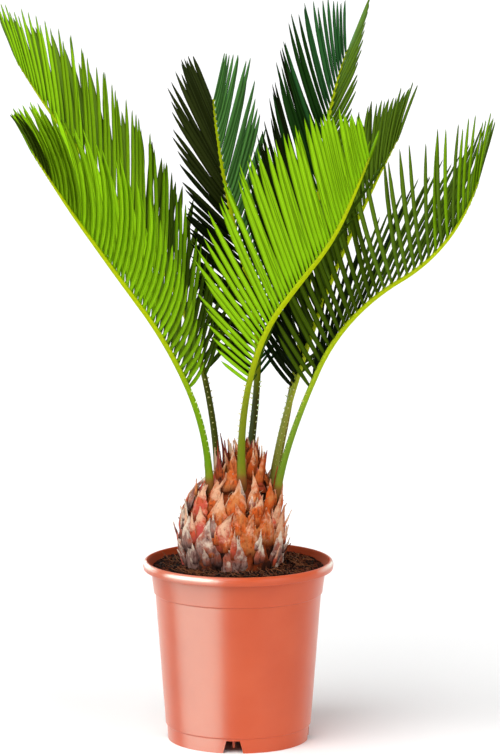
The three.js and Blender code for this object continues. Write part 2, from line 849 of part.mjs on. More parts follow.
place('pot', pot(), COLORS.pot, ROUGHNESS.pot);
place('soil', soil(), COLORS.soil, ROUGHNESS.soil);
place('caudex', caudex(sockets), COLORS.caudex, ROUGHNESS.caudex);
fronds.forEach((frond) => {
  place(frond.name, frondSolid(frond), frond.color, ROUGHNESS.frond);
});

export default group;
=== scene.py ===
"""A young sago palm in its nursery pot: moulded pot, potting mix, scaly caudex and seven fronds."""

import math
import random

import bmesh
import bpy
import numpy as np
from bpy.props import FloatProperty, FloatVectorProperty, IntProperty, PointerProperty
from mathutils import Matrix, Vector, noise


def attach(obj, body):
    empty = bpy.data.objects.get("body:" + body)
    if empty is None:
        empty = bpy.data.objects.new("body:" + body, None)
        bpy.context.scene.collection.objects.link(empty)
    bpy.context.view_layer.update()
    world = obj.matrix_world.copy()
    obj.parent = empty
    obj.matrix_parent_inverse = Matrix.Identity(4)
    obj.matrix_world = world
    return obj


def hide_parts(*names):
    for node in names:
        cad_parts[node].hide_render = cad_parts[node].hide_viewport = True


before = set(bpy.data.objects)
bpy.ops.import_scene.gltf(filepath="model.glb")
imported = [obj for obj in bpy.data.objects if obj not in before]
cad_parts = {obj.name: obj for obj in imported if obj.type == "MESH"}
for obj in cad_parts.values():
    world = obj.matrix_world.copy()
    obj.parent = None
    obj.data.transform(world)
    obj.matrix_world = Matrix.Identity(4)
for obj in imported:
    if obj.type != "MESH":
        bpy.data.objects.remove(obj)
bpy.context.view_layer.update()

bl_info = {
    "name": "Potted Sago Palm",
    "version": (1, 0, 0),
    "blender": (4, 5, 0),
    "location": "View3D > Sidebar > Sago Palm",
    "description": "Builds a young sago palm in its nursery pot",
    "category": "Add Mesh",
}

MM = 0.001  # shapes are worked out in millimetres, and scaled as their mesh is made
BODY = "root"
BLACK = (0, 0, 0)
ORIGIN = (0, 0, 0)


# ------------------------------------------------------------------- helpers


def linear(code):
    """An sRGB hex colour as linear red, green and blue."""
    parts = [int(code[i : i + 2], 16) / 255 for i in (1, 3, 5)]
    return tuple(c / 12.92 if c <= 0.04045 else ((c + 0.055) / 1.055) ** 2.4 for c in parts)


def mixed(a, b, share):
    """A colour between two linear colours."""
    return tuple(x + (y - x) * share for x, y in zip(a, b))


def along(knots, x):
    """Value at x (0 to 1) on a line through evenly spaced knots."""
    at = min(max(x, 0.0), 1.0) * (len(knots) - 1)
    i = min(int(at), len(knots) - 2)
    return knots[i] + (knots[i + 1] - knots[i]) * (at - i)


def eased(knots, x):
    """Value at x (0 to 1) on a smooth curve through evenly spaced knots."""
    at = min(max(x, 0.0), 1.0) * (len(knots) - 1)
    i = min(int(at), len(knots) - 2)
    a, b = knots[i], knots[i + 1]
    before = knots[i - 1] if i > 0 else 2 * a - b
    after = knots[i + 2] if i + 2 < len(knots) else 2 * b - a
    h, leave, arrive = at - i, (b - before) / 2, (after - a) / 2
    return a + h * (leave + h * (3 * (b - a) - 2 * leave - arrive + h * (leave + arrive - 2 * (b - a))))


def wobble(key):
    """A repeatable number from -1 to 1 for a key."""
    x = math.sin(key * 12.9898) * 43758.5453
    return 2 * (x - math.floor(x)) - 1


def unit(rows):
    """Vectors along the last axis, scaled to length one."""
    return rows / np.linalg.norm(rows, axis=-1, keepdims=True)


def rough(x, y, z):
    """Smooth noise from -1 to 1 at a place."""
    return noise.noise(Vector((x, y, z)))


def turns(sides):
    """Bearings spread evenly round a circle, in radians."""
    return np.linspace(0, math.tau, sides, False)


def circle(radius, z, sides, x=0.0, y=0.0):
    """Points round a level circle."""
    return [(x + radius * math.cos(a), y + radius * math.sin(a), z) for a in turns(sides)]


def tube(rings, start, end):
    """Vertices, faces and face UVs of a closed skin through rings, drawn in to a pole at each end."""
    rings = np.asarray(rings, float)
    count, sides = rings.shape[:2]
    vertices = [*rings.reshape(-1, 3), np.asarray(start, float), np.asarray(end, float)]
    pairs = [(j, (j + 1) % sides, j / sides, (j + 1) / sides) for j in range(sides)]
    faces, uvs = [], []
    for i in range(count - 1):
        low, high = i / (count - 1), (i + 1) / (count - 1)
        for j, k, u, w in pairs:
            faces.append((i * sides + j, i * sides + k, (i + 1) * sides + k, (i + 1) * sides + j))
            uvs.append(((u, low), (w, low), (w, high), (u, high)))
    first, last, base = count * sides, count * sides + 1, (count - 1) * sides
    for j, k, u, w in pairs:
        faces.extend([(first, k, j), (last, base + j, base + k)])
        uvs.extend([((u, 0), (w, 0), (u, 0)), ((u, 1), (u, 1), (w, 1))])
    return vertices, faces, uvs


def link(name, data):
    """An object of a mesh, light or camera, in the scene."""
    made = bpy.data.objects.new(name, data)
    bpy.context.scene.collection.objects.link(made)
    return made


def shaded(made, sharp):
    """Shades a piece smooth, except at edges sharper than this angle."""
    made.data.shade_smooth()
    made.data.set_sharp_from_angle(angle=math.radians(sharp))
    return made


class Skin:
    """Collects closed shapes into the one mesh of a piece."""

    def __init__(self, *shapes):
        self.vertices, self.faces, self.uvs, self.slots = [], [], [], []
        for shape in shapes:
            self.add(shape)

    def add(self, shape, slots=0):
        """Adds a shape, with one material slot for all its faces or a list of them."""
        vertices, faces, uvs = shape
        base = len(self.vertices)
        self.vertices.extend(vertices)
        self.faces.extend(tuple(base + i for i in face) for face in faces)
        self.uvs.extend(uvs)
        self.slots.extend([slots] * len(faces) if isinstance(slots, int) else slots)

    def piece(self, name, materials, sharp=60.0):
        """Makes the object, in metres, with its faces turned outwards."""
        mesh = bpy.data.meshes.new(name)
        mesh.from_pydata((np.asarray(self.vertices) * MM).tolist(), [], self.faces)
        for made in materials:
            mesh.materials.append(made)
        mesh.polygons.foreach_set("material_index", self.slots)
        layer = mesh.uv_layers.new(name="UVMap")
        layer.uv.foreach_set("vector", np.asarray([c for face in self.uvs for uv in face for c in uv]))
        mesh.update()
        work = bmesh.new()
        work.from_mesh(mesh)
        bmesh.ops.recalc_face_normals(work, faces=work.faces)
        work.to_mesh(mesh)
        work.free()
        return shaded(link(name, mesh), sharp)


def settle(made, slot, *replaced):
    """Puts a finished piece on its body, in the place of its CAD nodes."""
    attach(made, BODY)
    if replaced:
        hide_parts(*replaced)


def plain_mesh(made):
    """Turns the result of an object's modifiers into its own plain mesh."""
    graph = bpy.context.evaluated_depsgraph_get()
    mesh = bpy.data.meshes.new_from_object(made.evaluated_get(graph), depsgraph=graph)
    old = made.data
    made.modifiers.clear()
    made.data = mesh
    mesh.name = made.name
    bpy.data.meshes.remove(old)
    return made


# ----------------------------------------------------------- nodes of all kinds


def node(tree, kind, settings=(), links=()):
    """Adds a node with its properties, ramp stops and input values, and links its inputs.

    A link starts at a socket, or at the first output of a node.
    """
    made = tree.nodes.new(kind)
    for key, value in dict(settings).items():
        if key == "stops":
            elements = made.color_ramp.elements
            while len(elements) < len(value):
                elements.new(0.5)
            for element, (place, shade) in zip(elements, value):
                element.position = place
                element.color = (*shade, 1)
        elif isinstance(key, str) and key.islower():
            setattr(made, key, value)
        else:
            made.inputs[key].default_value = value
    for key, source in dict(links).items():
        tree.links.new(getattr(source, "outputs", [source])[0], made.inputs[key])
    return made


def finish_material(name, base, **values):
    """A Principled material with uniform values on its own sockets; returns it, its tree and shader."""
    made = bpy.data.materials.new(name)
    made.use_nodes = True
    made.diffuse_color = (*base, 1)
    shader = made.node_tree.nodes["Principled BSDF"]
    shader.inputs["Base Color"].default_value = (*base, 1)
    for key, value in values.items():
        shader.inputs[key.replace("_", " ").title().replace("Ior", "IOR")].default_value = value
    return made, made.node_tree, shader


def grain(tree, shader, size, depth, stretch=(1, 1, 1), stops=()):
    """Bump from noise with a grain of this size in millimetres, coloured by stops; returns the noise."""
    coords = node(tree, "ShaderNodeTexCoord").outputs["Object"]
    place = node(tree, "ShaderNodeMapping", {"Scale": stretch}, {"Vector": coords})
    values = {"Scale": 1 / (size * MM), "Detail": 3.0, "Roughness": 0.6}
    texture = node(tree, "ShaderNodeTexNoise", values, {"Vector": place})
    bump = node(tree, "ShaderNodeBump", {"Strength": 1.0, "Distance": depth * MM}, {"Height": texture})
    tree.links.new(bump.outputs["Normal"], shader.inputs["Normal"])
    if stops:
        shade = node(tree, "ShaderNodeValToRGB", {"stops": stops}, {"Fac": texture})
        tree.links.new(shade.outputs["Color"], shader.inputs["Base Color"])
    return texture


def lay_coats(tree, shader, shade, *coats):
    """Colours a shader by a shade under coats, each a linear colour laid as far as its cover is high."""
    for coat, cover in coats:
        laid = node(tree, "ShaderNodeMix", {"data_type": "RGBA", 7: (*coat, 1)}, {0: cover, 6: shade})
        shade = laid.outputs[2]
    tree.links.new(shade, shader.inputs["Base Color"])


def new_tree(name, **inputs):
    """A Geometry Nodes tree with these named inputs and a material; returns it and its inputs."""
    tree = bpy.data.node_groups.new(name, "GeometryNodeTree")
    tree.interface.new_socket("Geometry", in_out="OUTPUT", socket_type="NodeSocketGeometry")
    for label, kind in {"Geometry": "Geometry", **inputs, "Material": "Material"}.items():
        tree.interface.new_socket(label, in_out="INPUT", socket_type="NodeSocket" + kind)
    return tree, node(tree, "NodeGroupInput").outputs


def close_tree(tree, given, laid):
    """Ends a tree in its instances on points, made real, and their material."""
    instances = node(tree, "GeometryNodeInstanceOnPoints", {}, laid)
    real = node(tree, "GeometryNodeRealizeInstances", {}, {"Geometry": instances})
    painted = node(tree, "GeometryNodeSetMaterial", {}, {"Geometry": real, "Material": given["Material"]})
    node(tree, "NodeGroupOutput", {}, {"Geometry": painted})
    return tree


def set_on_points(tree, given, shape):
    """Ends a tree in a shape on each point of the mesh, turned to its aim and scaled by its size."""
    aim = node(tree, "GeometryNodeInputNamedAttribute", {"data_type": "FLOAT_VECTOR", "Name": "aim"})
    scale = node(tree, "GeometryNodeInputNamedAttribute", {"data_type": "FLOAT", "Name": "size"})
    turn = node(tree, "FunctionNodeAlignRotationToVector", {"axis": "Z"}, {"Vector": aim})
    laid = {"Points": given["Geometry"], "Instance": shape, "Rotation": turn, "Scale": scale}
    return close_tree(tree, given, laid)


def crumb_tree():
    """Geometry Nodes: angular crumbs strewn over a surface."""
    tree, given = new_tree(
        "strewn_crumbs", Density="Float", Radius="Float", Smallest="Vector", Largest="Vector", Seed="Int"
    )
    seed = {"Seed": given["Seed"]}
    surface = {"Mesh": given["Geometry"], "Density": given["Density"], **seed}
    vector = {"data_type": "FLOAT_VECTOR"}
    laid = {
        "Points": node(tree, "GeometryNodeDistributePointsOnFaces", {}, surface),
        "Instance": node(tree, "GeometryNodeMeshIcoSphere", {"Subdivisions": 1}, {"Radius": given["Radius"]}),
        "Rotation": node(tree, "FunctionNodeRandomValue", {**vector, 1: (math.tau,) * 3}, seed),
        "Scale": node(
            tree, "FunctionNodeRandomValue", vector, {0: given["Smallest"], 1: given["Largest"], **seed}
        ),
    }
    return close_tree(tree, given, laid)


def hair_tree():
    """Geometry Nodes: bent fibres, each set on a point along its own direction."""
    tree, given = new_tree("bent_fibres", Length="Float", Thickness="Float", Bend="Float")
    half = node(tree, "ShaderNodeMath", {"operation": "MULTIPLY", 1: 0.5}, {0: given["Length"]})
    bend = {
        "Middle": node(tree, "ShaderNodeCombineXYZ", {}, {"Z": half}),
        "End": node(tree, "ShaderNodeCombineXYZ", {}, {"X": given["Bend"], "Z": given["Length"]}),
    }
    sweep = {
        "Curve": node(tree, "GeometryNodeCurveQuadraticBezier", {"Resolution": 4, "Start": ORIGIN}, bend),
        "Profile Curve": node(
            tree, "GeometryNodeCurvePrimitiveCircle", {"Resolution": 3}, {"Radius": given["Thickness"]}
        ),
    }
    return set_on_points(tree, given, node(tree, "GeometryNodeCurveToMesh", {"Fill Caps": True}, sweep))


def spine_tree():
    """Geometry Nodes: stubby pointed spines, each set on a point along its own direction."""
    tree, given = new_tree("petiole_spines", Length="Float", Radius="Float")
    form = {"Vertices": 6, "Side Segments": 2, "Radius Top": 0.05 * MM}
    cone = node(
        tree, "GeometryNodeMeshCone", form, {"Radius Bottom": given["Radius"], "Depth": given["Length"]}
    )
    return set_on_points(tree, given, cone)


def point_object(name, points):
    """An object of bare points that carry an aim and a size, for the trees above."""
    places, aims, sizes = zip(*points)
    mesh = bpy.data.meshes.new(name)
    mesh.from_pydata((np.asarray(places) * MM).tolist(), [], [])
    aim = mesh.attributes.new("aim", "FLOAT_VECTOR", "POINT")
    aim.data.foreach_set("vector", np.asarray(aims, float).ravel())
    scale = mesh.attributes.new("size", "FLOAT", "POINT")
    scale.data.foreach_set("value", np.asarray(sizes, float))
    return link(name, mesh)


def run_nodes(made, tree, sharp, slot, **values):
    """Makes a plain piece of what a Geometry Nodes tree with these inputs gives, and settles it."""
    modifier = made.modifiers.new(tree.name, "NODES")
    modifier.node_group = tree
    for item in tree.interface.items_tree:
        if item.item_type == "SOCKET" and item.in_out == "INPUT" and item.name in values:
            modifier[item.identifier] = values[item.name]
    settle(shaded(plain_mesh(made), sharp), slot)


# ------------------------------------------------------------------ settings


def size(label, value, text):
    return FloatProperty(name=label, description=text, default=value * MM, unit="LENGTH", precision=4)


def number(label, value, text):
    return FloatProperty(name=label, description=text, default=value)


def count(label, value, text):
    return IntProperty(name=label, description=text, default=value)


def colour(label, code, text):
    return FloatVectorProperty(
        name=label, description=text, default=linear(code), subtype="COLOR", size=3, min=0, max=1
    )


def lengths(group, *names):
    """Some of a group's sizes, in millimetres."""
    return [getattr(group, name) / MM for name in names]


def shades(group, *names):
    """Some of a group's colours, linear."""
    return [tuple(getattr(group, name)) for name in names]


class PotSettings(bpy.types.PropertyGroup):
    height: size("Height", 143.5, "From the foot to the top of the rim")
    rim_radius: size("Rim radius", 75.4, "Outside of the rolled rim")
    neck_radius: size("Neck radius", 69.0, "Wall just under the rim")
    foot_radius: size("Foot radius", 55.9, "Outside of the foot ring")
    wall: size("Wall", 1.8, "Thickness of the wall")
    segments: count("Segments", 160, "Facets round the pot")
    plastic: colour("Plastic", "#c24c23", "Terracotta-coloured plastic")
    bloom: colour("Bloom", "#c8542c", "Paler, dustier patches of the same plastic")


class SoilSettings(bpy.types.PropertyGroup):
    edge: size("Level", 139.2, "Height of the mix at the wall")
    mound: size("Mound", 3.0, "Rise towards the trunk")
    crumb: size("Crumb", 1.15, "Radius of a crumb of peat")
    density: number("Crumbs", 150000, "Crumbs for each square metre")
    peat: colour("Peat", "#240b05", "Damp peat")
    husk: colour("Husk", "#74361c", "Dry fibre and husk")
    chip: colour("Chip", "#582414", "Bark chips")


class CaudexSettings(bpy.types.PropertyGroup):
    scales: count("Leaf bases", 46, "Dead leaf bases round the trunk")
    width: size("Scale width", 23.0, "Width of the lowest leaf bases")
    height: size("Scale height", 27.0, "Height of a leaf base")
    bracts: count("Bracts", 40, "Pointed bracts in the crown")
    flakes: count("Flakes", 120, "Loose papery flakes on the leaf bases")
    rust: colour("Rust", "#cc5822", "Middle leaf bases")
    straw: colour("Straw", "#e0b896", "Dry tips")
    mauve: colour("Mauve", "#8a5c56", "Weathered leaf bases at the foot")
    # Umber is the leaf bases' own dark brown, and also the painted shade of the pith in the depths between
    # them.
    umber: colour("Umber", "#3a1f17", "Depths between the leaf bases")


class FoliageSettings(bpy.types.PropertyGroup):
    thickness: size("Thickness", 0.5, "Thickness of a leaflet")
    spine: size("Spine", 2.6, "Length of a spine on a petiole")
    # The tints are partly the leaflets' own greens and partly painted light: lime is made brighter as painted
    # light, and olive, forest, night and dusk are darker copies, painted shade for rows turned from the light
    # or deep in the crown.
    lime: colour("Lime", "#8fc413", "Young leaflets in full light")
    fresh: colour("Fresh green", "#78a40e", "Grown leaflets")
    green: colour("Green", "#5a781a", "Leaflets half in shade")
    olive: colour("Olive", "#3e5409", "Old leaflets")
    forest: colour("Forest", "#1b3b10", "Deep green leaflets at the back")
    night: colour("Night", "#151e06", "Darkest leaflets, in the middle of the crown")
    dusk: colour("Dusk", "#2a3210", "Brownish leaflets in the shade at the back")
    teal: colour("Teal", "#2c5a2c", "Leaflets at the tip of the back frond")
    sea: colour("Sea green", "#437030", "Bluish leaflets at the back")
    rib: colour("Rachis", "#b2c408", "Yellow-green rachis")


class StageSettings(bpy.types.PropertyGroup):
    distance: size("Distance", 2800.0, "From the middle of the pot to the camera")
    eye: size("Eye height", 700.0, "Height of the camera")
    pitch: number("Pitch", 8.365, "Degrees the camera looks down")
    lens: number("Lens", 172.3, "Focal length in millimetres")
    key: number("Key", 2.3, "Strength of the large soft key light")
    fill: number("Fill", 0.8, "Strength of the fill light")
    side: number("Side", 0.15, "Strength of the low light on the left")
    panel: number("Panels", 52.0, "Strength of the panels that the gloss mirrors")
    sky: number("Surround", 0.46, "Brightness of the white surround")
    paper: colour("Paper", "#fbfbfb", "White paper floor")


# ----------------------------------------------------------------------- pot

STEP = {"height": 117.8, "top": 66.6, "bottom": 65.5}  # shallow ring round the wall
LEDGE = {"height": 12.3, "radius": 57.6}  # where the wall leaves the foot
FLOOR = {"top": 12.0, "thickness": 1.9}
RIM = {"bottom": 136.0, "mouth": 70.8}
NOTCH = {"count": 4, "bearing": -94, "top": 10.7, "foot": 16.0, "height": 10.0, "in": 5.0, "out": 4.0}
RIB = {"top": 2.2, "foot": 1.6, "drop": 7.0, "inner": 40.0, "outer": 49.0}
DRAIN = {"count": 5, "radius": 4.0, "ring": 30.0, "bearing": 18, "sides": 24, "over": 3.0}
UNDER = FLOOR["top"] - FLOOR["thickness"]


def moulded_polypropylene(pot):
    """Injection-moulded polypropylene: satin, faintly mottled, with a fine moulded grain.

    Its gloss is drawn out up and down the wall, as on any turned or drawn surface.
    """
    plastic, bloom = shades(pot, "plastic", "bloom")
    gloss = {"ior": 1.49, "specular_ior_level": 0.5, "anisotropic": 0.85, "anisotropic_rotation": 0.25}
    made, tree, shader = finish_material("moulded_polypropylene", plastic, **gloss)
    coords = node(tree, "ShaderNodeTexCoord").outputs["Object"]
    cloud = node(tree, "ShaderNodeTexNoise", {"Scale": 26.0, "Detail": 4.0}, {"Vector": coords})
    shade = node(tree, "ShaderNodeValToRGB", {"stops": [(0.35, plastic), (0.68, bloom)]}, {"Fac": cloud})
    fine = grain(tree, shader, 0.9, 0.03)
    haze = node(tree, "ShaderNodeMapRange", {"To Min": 0.3, "To Max": 0.42}, {"Value": fine})
    axis = node(tree, "ShaderNodeTangent", {"direction_type": "RADIAL", "axis": "Z"})
    for socket, source in (("Base Color", shade), ("Roughness", haze), ("Tangent", axis)):
        tree.links.new(source.outputs[0], shader.inputs[socket])
    return made


def soiled_polypropylene(pot):
    """The same plastic inside the pot: matt, and darkened as painted shade on the inside wall."""
    # Painted shade: the plastic taken towards a dark brown.
    shade = mixed(tuple(pot.plastic), linear("#2a120a"), 0.4)
    values = {"roughness": 0.8, "specular_ior_level": 0.02}
    made, tree, shader = finish_material("soiled_polypropylene", shade, **values)
    grain(tree, shader, 3.0, 0.3)
    return made


def rounded(profile, steps=4):
    """A profile of (radius, height, rounding) corners with each corner turned into an arc."""
    points = []
    for i, (r, z, fillet) in enumerate(profile):
        if fillet <= 0 or i in (0, len(profile) - 1):
            points.append((r, z))
            continue
        here = np.array([r, z])
        back, ahead = (np.array(profile[k][:2]) - here for k in (i - 1, i + 1))
        reach = min(fillet, 0.45 * np.linalg.norm(back), 0.45 * np.linalg.norm(ahead))
        a, b = here + unit(back) * reach, here + unit(ahead) * reach
        for t in np.linspace(0, 1, steps + 1):
            points.append(tuple((1 - t) ** 2 * a + 2 * t * (1 - t) * here + t * t * b))
    return points


def lathe(profile, segments):
    """A closed body of revolution from a profile that starts and ends on the axis."""
    rings = [circle(r, z, segments) for r, z in profile[1:-1]]
    return tube(rings, (0, 0, profile[0][1]), (0, 0, profile[-1][1]))


def block(span, low, high, bearing):
    """A bar over a span of radius, between its low and high (height, width), turned to a bearing."""
    c, s = math.cos(math.radians(bearing)), math.sin(math.radians(bearing))
    corners = []
    for x in span:
        for side, (z, width) in ((-1, low), (1, low), (1, high), (-1, high)):
            y = side * width / 2
            corners.append((x * c - y * s, x * s + y * c, z))
    faces = [(0, 3, 2, 1), (4, 5, 6, 7), (0, 1, 5, 4), (1, 2, 6, 5), (2, 3, 7, 6), (3, 0, 4, 7)]
    return corners, faces, [((0, 0), (1, 0), (1, 1), (0, 1))] * 6


def pot_profile(pot):
    """Corners of the pot's section as (radius, height, rounding), from under its floor to its inside."""
    height, rim, neck, foot, wall = lengths(
        pot, "height", "rim_radius", "neck_radius", "foot_radius", "wall"
    )
    return [
        (0, UNDER, 0),
        (foot - 2.2, UNDER, 0.6),
        (foot - 2.0, 0, 0.4),
        (foot, 0, 0.5),
        (foot + 0.6, LEDGE["height"] - 0.9, 0.3),
        (LEDGE["radius"], LEDGE["height"], 0.6),
        (STEP["bottom"], STEP["height"] - 0.7, 0.3),
        (STEP["top"], STEP["height"], 0.5),
        (neck, RIM["bottom"], 0.6),
        (rim - 0.7, RIM["bottom"] + 0.2, 0.9),
        (rim, RIM["bottom"] + 3.6, 2.4),
        (rim - 0.8, height - 1.3, 1.8),
        (rim - 2.8, height, 1.6),
        (RIM["mouth"], height - 0.9, 1.2),
        (RIM["mouth"] - 1, height - 3, 1),
        (neck - wall, RIM["bottom"], 1),
        (STEP["top"] - wall, STEP["height"] + 2.2, 0.5),
        (STEP["bottom"] - wall, STEP["height"], 0.5),
        (LEDGE["radius"] - wall - 0.2, FLOOR["top"], 1.2),
        (0, FLOOR["top"], 0),
    ]


def pot_ribs_and_cuts(pot):
    """The ribs under the floor, and the shapes that cut the foot's notches and the drain holes."""
    foot = pot.foot_radius / MM
    slope = (NOTCH["foot"] - NOTCH["top"]) / NOTCH["height"]
    ribs, cuts = Skin(), Skin()
    for i in range(NOTCH["count"]):
        bearing = NOTCH["bearing"] + 360 / NOTCH["count"] * i
        low, high = (UNDER - RIB["drop"], RIB["foot"]), (UNDER + 1, RIB["top"])
        ribs.add(block((RIB["inner"], RIB["outer"]), low, high, bearing))
        low, high = (-1, NOTCH["foot"] + slope), (NOTCH["height"], NOTCH["top"])
        cuts.add(block((foot - NOTCH["in"], foot + NOTCH["out"]), low, high, bearing))
    low, high = UNDER - DRAIN["over"], FLOOR["top"] + DRAIN["over"]
    for a in turns(DRAIN["count"]) + math.radians(DRAIN["bearing"]):
        x, y = DRAIN["ring"] * math.cos(a), DRAIN["ring"] * math.sin(a)
        rings = [circle(DRAIN["radius"], z, DRAIN["sides"], x, y) for z in (low, high)]
        cuts.add(tube(rings, (x, y, low), (x, y, high)))
    return ribs, cuts


def build_pot(context):
    pot = context.scene.sago_pot
    plastic = moulded_polypropylene(pot)
    made = Skin(lathe(rounded(pot_profile(pot)), pot.segments)).piece("nursery_pot", [plastic])
    ribs, cuts = pot_ribs_and_cuts(pot)
    for name, tool, operation in (("pot_ribs", ribs, "UNION"), ("pot_cuts", cuts, "DIFFERENCE")):
        other = tool.piece(name, [plastic])
        modifier = made.modifiers.new(name, "BOOLEAN")
        modifier.object = other
        modifier.operation = operation
        modifier.solver = "EXACT"
        plain_mesh(made)
        bpy.data.meshes.remove(other.data)
    made.data.materials.append(soiled_polypropylene(pot))
    inside = len(made.data.materials) - 1
    # The inside wall above the floor takes the plastic darkened as painted shade.
    for face in made.data.polygons:
        x, y, z = face.center
        inward = x * face.normal.x + y * face.normal.y < -0.3 * math.hypot(x, y)
        if inward and z / MM > FLOOR["top"]:
            face.material_index = inside
    settle(shaded(made, 34), "pot", "pot")


# ------------------------------------------------------------------ potting mix

SOIL = {"bottom": 12.4, "mound_radius": 62.0, "lump": 1.0, "tuck": 0.8}
SOIL_TOP = {"outer": 67.3, "inner": 6, "rings": 44, "segments": 128}
# Radius and height of its sides, just inside the wall.
SOIL_SIDES = [(55.1, 12.4), (63.3, 117.4), (64.4, 120.4), (66.9, 136.0)]
STREWN = {"outer": 66.4, "inner": 34, "rings": 20, "segments": 96}  # where crumbs and chips lie, mm
SCATTER = {
    # density share, smallest and largest scale of the shape, seed
    "peat_crumbs": (1.0, (0.5, 0.5, 0.35), (1.5, 1.3, 1.1), 3),
    "bark_chips": (0.09, (1.2, 0.8, 0.35), (3.4, 2.0, 0.8), 8),
}
COIR = {"count": 520, "inner": 37, "outer": 57.5, "length": 6, "thickness": 0.24, "bend": 2.2, "seed": 21}


def soil_height(soil, x, y):
    """Height of the mix: the same mound and lumps as the solid, with finer crumbs on it."""
    edge, mound = lengths(soil, "edge", "mound")
    rise = mound * max(0.0, 1 - math.hypot(x, y) / SOIL["mound_radius"]) ** 0.5
    coarse = math.sin(x * 0.21 + 1.3) * math.cos(y * 0.19 - 0.4)
    fine = math.sin(x * 0.47 - y * 0.39 + 2.1)
    crumbs = 0.9 * rough(x * 0.28, y * 0.28, 3.0) + 0.5 * rough(x * 0.75, y * 0.75, 9.0)
    return edge + rise + SOIL["lump"] * (0.65 * coarse + 0.35 * fine) + crumbs - 0.4


def damp_peat(soil):
    """Damp peat: very dark brown, brown where it crumbles, quite matt, with painted shade taking it almost to
    black in its hollows.
    """
    peat, husk = shades(soil, "peat", "husk")
    made, tree, shader = finish_material("damp_peat", peat, roughness=0.95, specular_ior_level=0.04)
    # Painted shade: the low, hollow end of the grain is near black.
    grain(tree, shader, 2.2, 1.2, stops=[(0.38, mixed(peat, BLACK, 0.85)), (0.55, peat), (0.72, husk)])
    return made


def dry_plant_matter(name, base, light):
    """Husk, bark or fibre: matt, fibrous, paler along its ridges."""
    made, tree, shader = finish_material(name, base, roughness=0.85, specular_ior_level=0.05)
    grain(tree, shader, 1.4, 0.4, stops=[(0.35, mixed(base, BLACK, 0.5)), (0.7, light)])
    return made


def soil_rings(soil, outer, inner, rings, segments):
    """Rings over the top of the mix, from one radius in to another, with the first tucked down."""
    made = []
    for i, r in enumerate(np.linspace(outer, inner, rings)):
        tuck = SOIL["tuck"] if i == 0 else 0
        made.append([(x, y, soil_height(soil, x, y) - tuck) for x, y, _ in circle(r, 0, segments)])
    return made


def build_soil(context):
    soil = context.scene.sago_soil
    peat = damp_peat(soil)
    chip, dry = shades(soil, "chip", "husk")
    bark = dry_plant_matter("bark_chip", chip, mixed(chip, dry, 0.5))
    husk = dry_plant_matter("coir_husk", dry, mixed(dry, linear("#c08a5c"), 0.35))

    rings = [circle(r, z, SOIL_TOP["segments"]) for r, z in SOIL_SIDES] + soil_rings(soil, **SOIL_TOP)
    bed = tube(rings, (0, 0, SOIL["bottom"]), (0, 0, soil_height(soil, 0, 0)))
    settle(Skin(bed).piece("potting_mix", [peat], 80), "soil", "soil")

    vertices, faces, uvs = tube(soil_rings(soil, **STREWN), ORIGIN, ORIGIN)
    walls = (STREWN["rings"] - 1) * STREWN["segments"]
    surface = vertices[:-2], faces[:walls], uvs[:walls]
    tree = crumb_tree()
    for name, (share, low, high, seed) in SCATTER.items():
        values = {"Density": soil.density * share, "Radius": soil.crumb, "Smallest": low, "Largest": high}
        finish = peat if name == "peat_crumbs" else bark
        run_nodes(Skin(surface).piece(name, [peat]), tree, 30, "soil", Seed=seed, Material=finish, **values)

    draw = random.Random(COIR["seed"])
    points = []
    for _ in range(COIR["count"]):
        r, a = math.sqrt(draw.uniform(COIR["inner"] ** 2, COIR["outer"] ** 2)), draw.uniform(0, math.tau)
        x, y = r * math.cos(a), r * math.sin(a)
        place = (x, y, soil_height(soil, x, y) + draw.uniform(0.1, 1.0))
        turn = draw.uniform(0, math.tau)
        aim = (math.cos(turn), math.sin(turn), draw.uniform(-0.05, 0.3))
        points.append((place, aim, draw.uniform(0.5, 1.5)))
    strew_fibres("coir_fibres", points, COIR, "soil", husk)


def strew_fibres(name, points, form, slot, finish):
    """Settles bent fibres of a form on points."""
    values = {key.title(): form[key] * MM for key in ("length", "thickness", "bend")}
    run_nodes(point_object(name, points), hair_tree(), 60, slot, Material=finish, **values)


# -------------------------------------------------------------------- caudex

CAUDEX_RINGS = [  # height, core radius, lean in x
    (112, 16, -3.5),
    (128, 33, -4.3),
    (142, 37.4, -4.9),
    (158, 39, -5.2),
    (172, 37.6, -5.2),
    (184, 34.4, -4.2),
    (194, 30, -2.2),
    (203, 23.5, 0.4),
    (211, 15, 4),
    (222, 9.5, 5.5),
    (232, 3.5, 5.5),
]
CORE = {"sunk": 0.5, "rings": 30, "sides": 40}
SCALE = {
    "turn": 137.508,
    "first": 142.8,
    "last": 191.0,
    "top_width": 13.0,
    "stand": 4.2,
    "bulge": 2.6,
    "buried": 2.5,
    "shoulder": 0.62,  # share of its height where a leaf base stops following the core
    "weathered_side": (165, 228),  # bearings between which all but the top ones are weathered
}
# Half width of a leaf base along its height, as a share of its widest.
SCALE_OUTLINE = ([0, 0.12, 0.3, 0.48, 0.62, 0.76, 0.9, 1], [0.8, 1, 0.98, 0.8, 0.54, 0.3, 0.13, 0.03])
# Places across a leaf base, from edge to edge over its outside (0) and back under it (1).
SCALE_SECTION = [(-1 + k / 5, 0) for k in range(11)] + [(1 - (k + 1) / 5, 1) for k in range(9)]
# The papery bracts of the crown: [lowest, highest] for where they stand on the core, how tall
# and wide they are, and how far they lean out.
BRACT = {
    "first": 200.0,
    "last": 223.0,
    "height": (30.0, 19.0),
    "width": (12.0, 7.0),
    "flare": (0.12, 0.03),
    "top": 240.0,
}
BRACT_OUTLINE = ([0, 0.2, 0.4, 0.6, 0.8, 1], [0.8, 1, 0.88, 0.58, 0.24, 0.03])
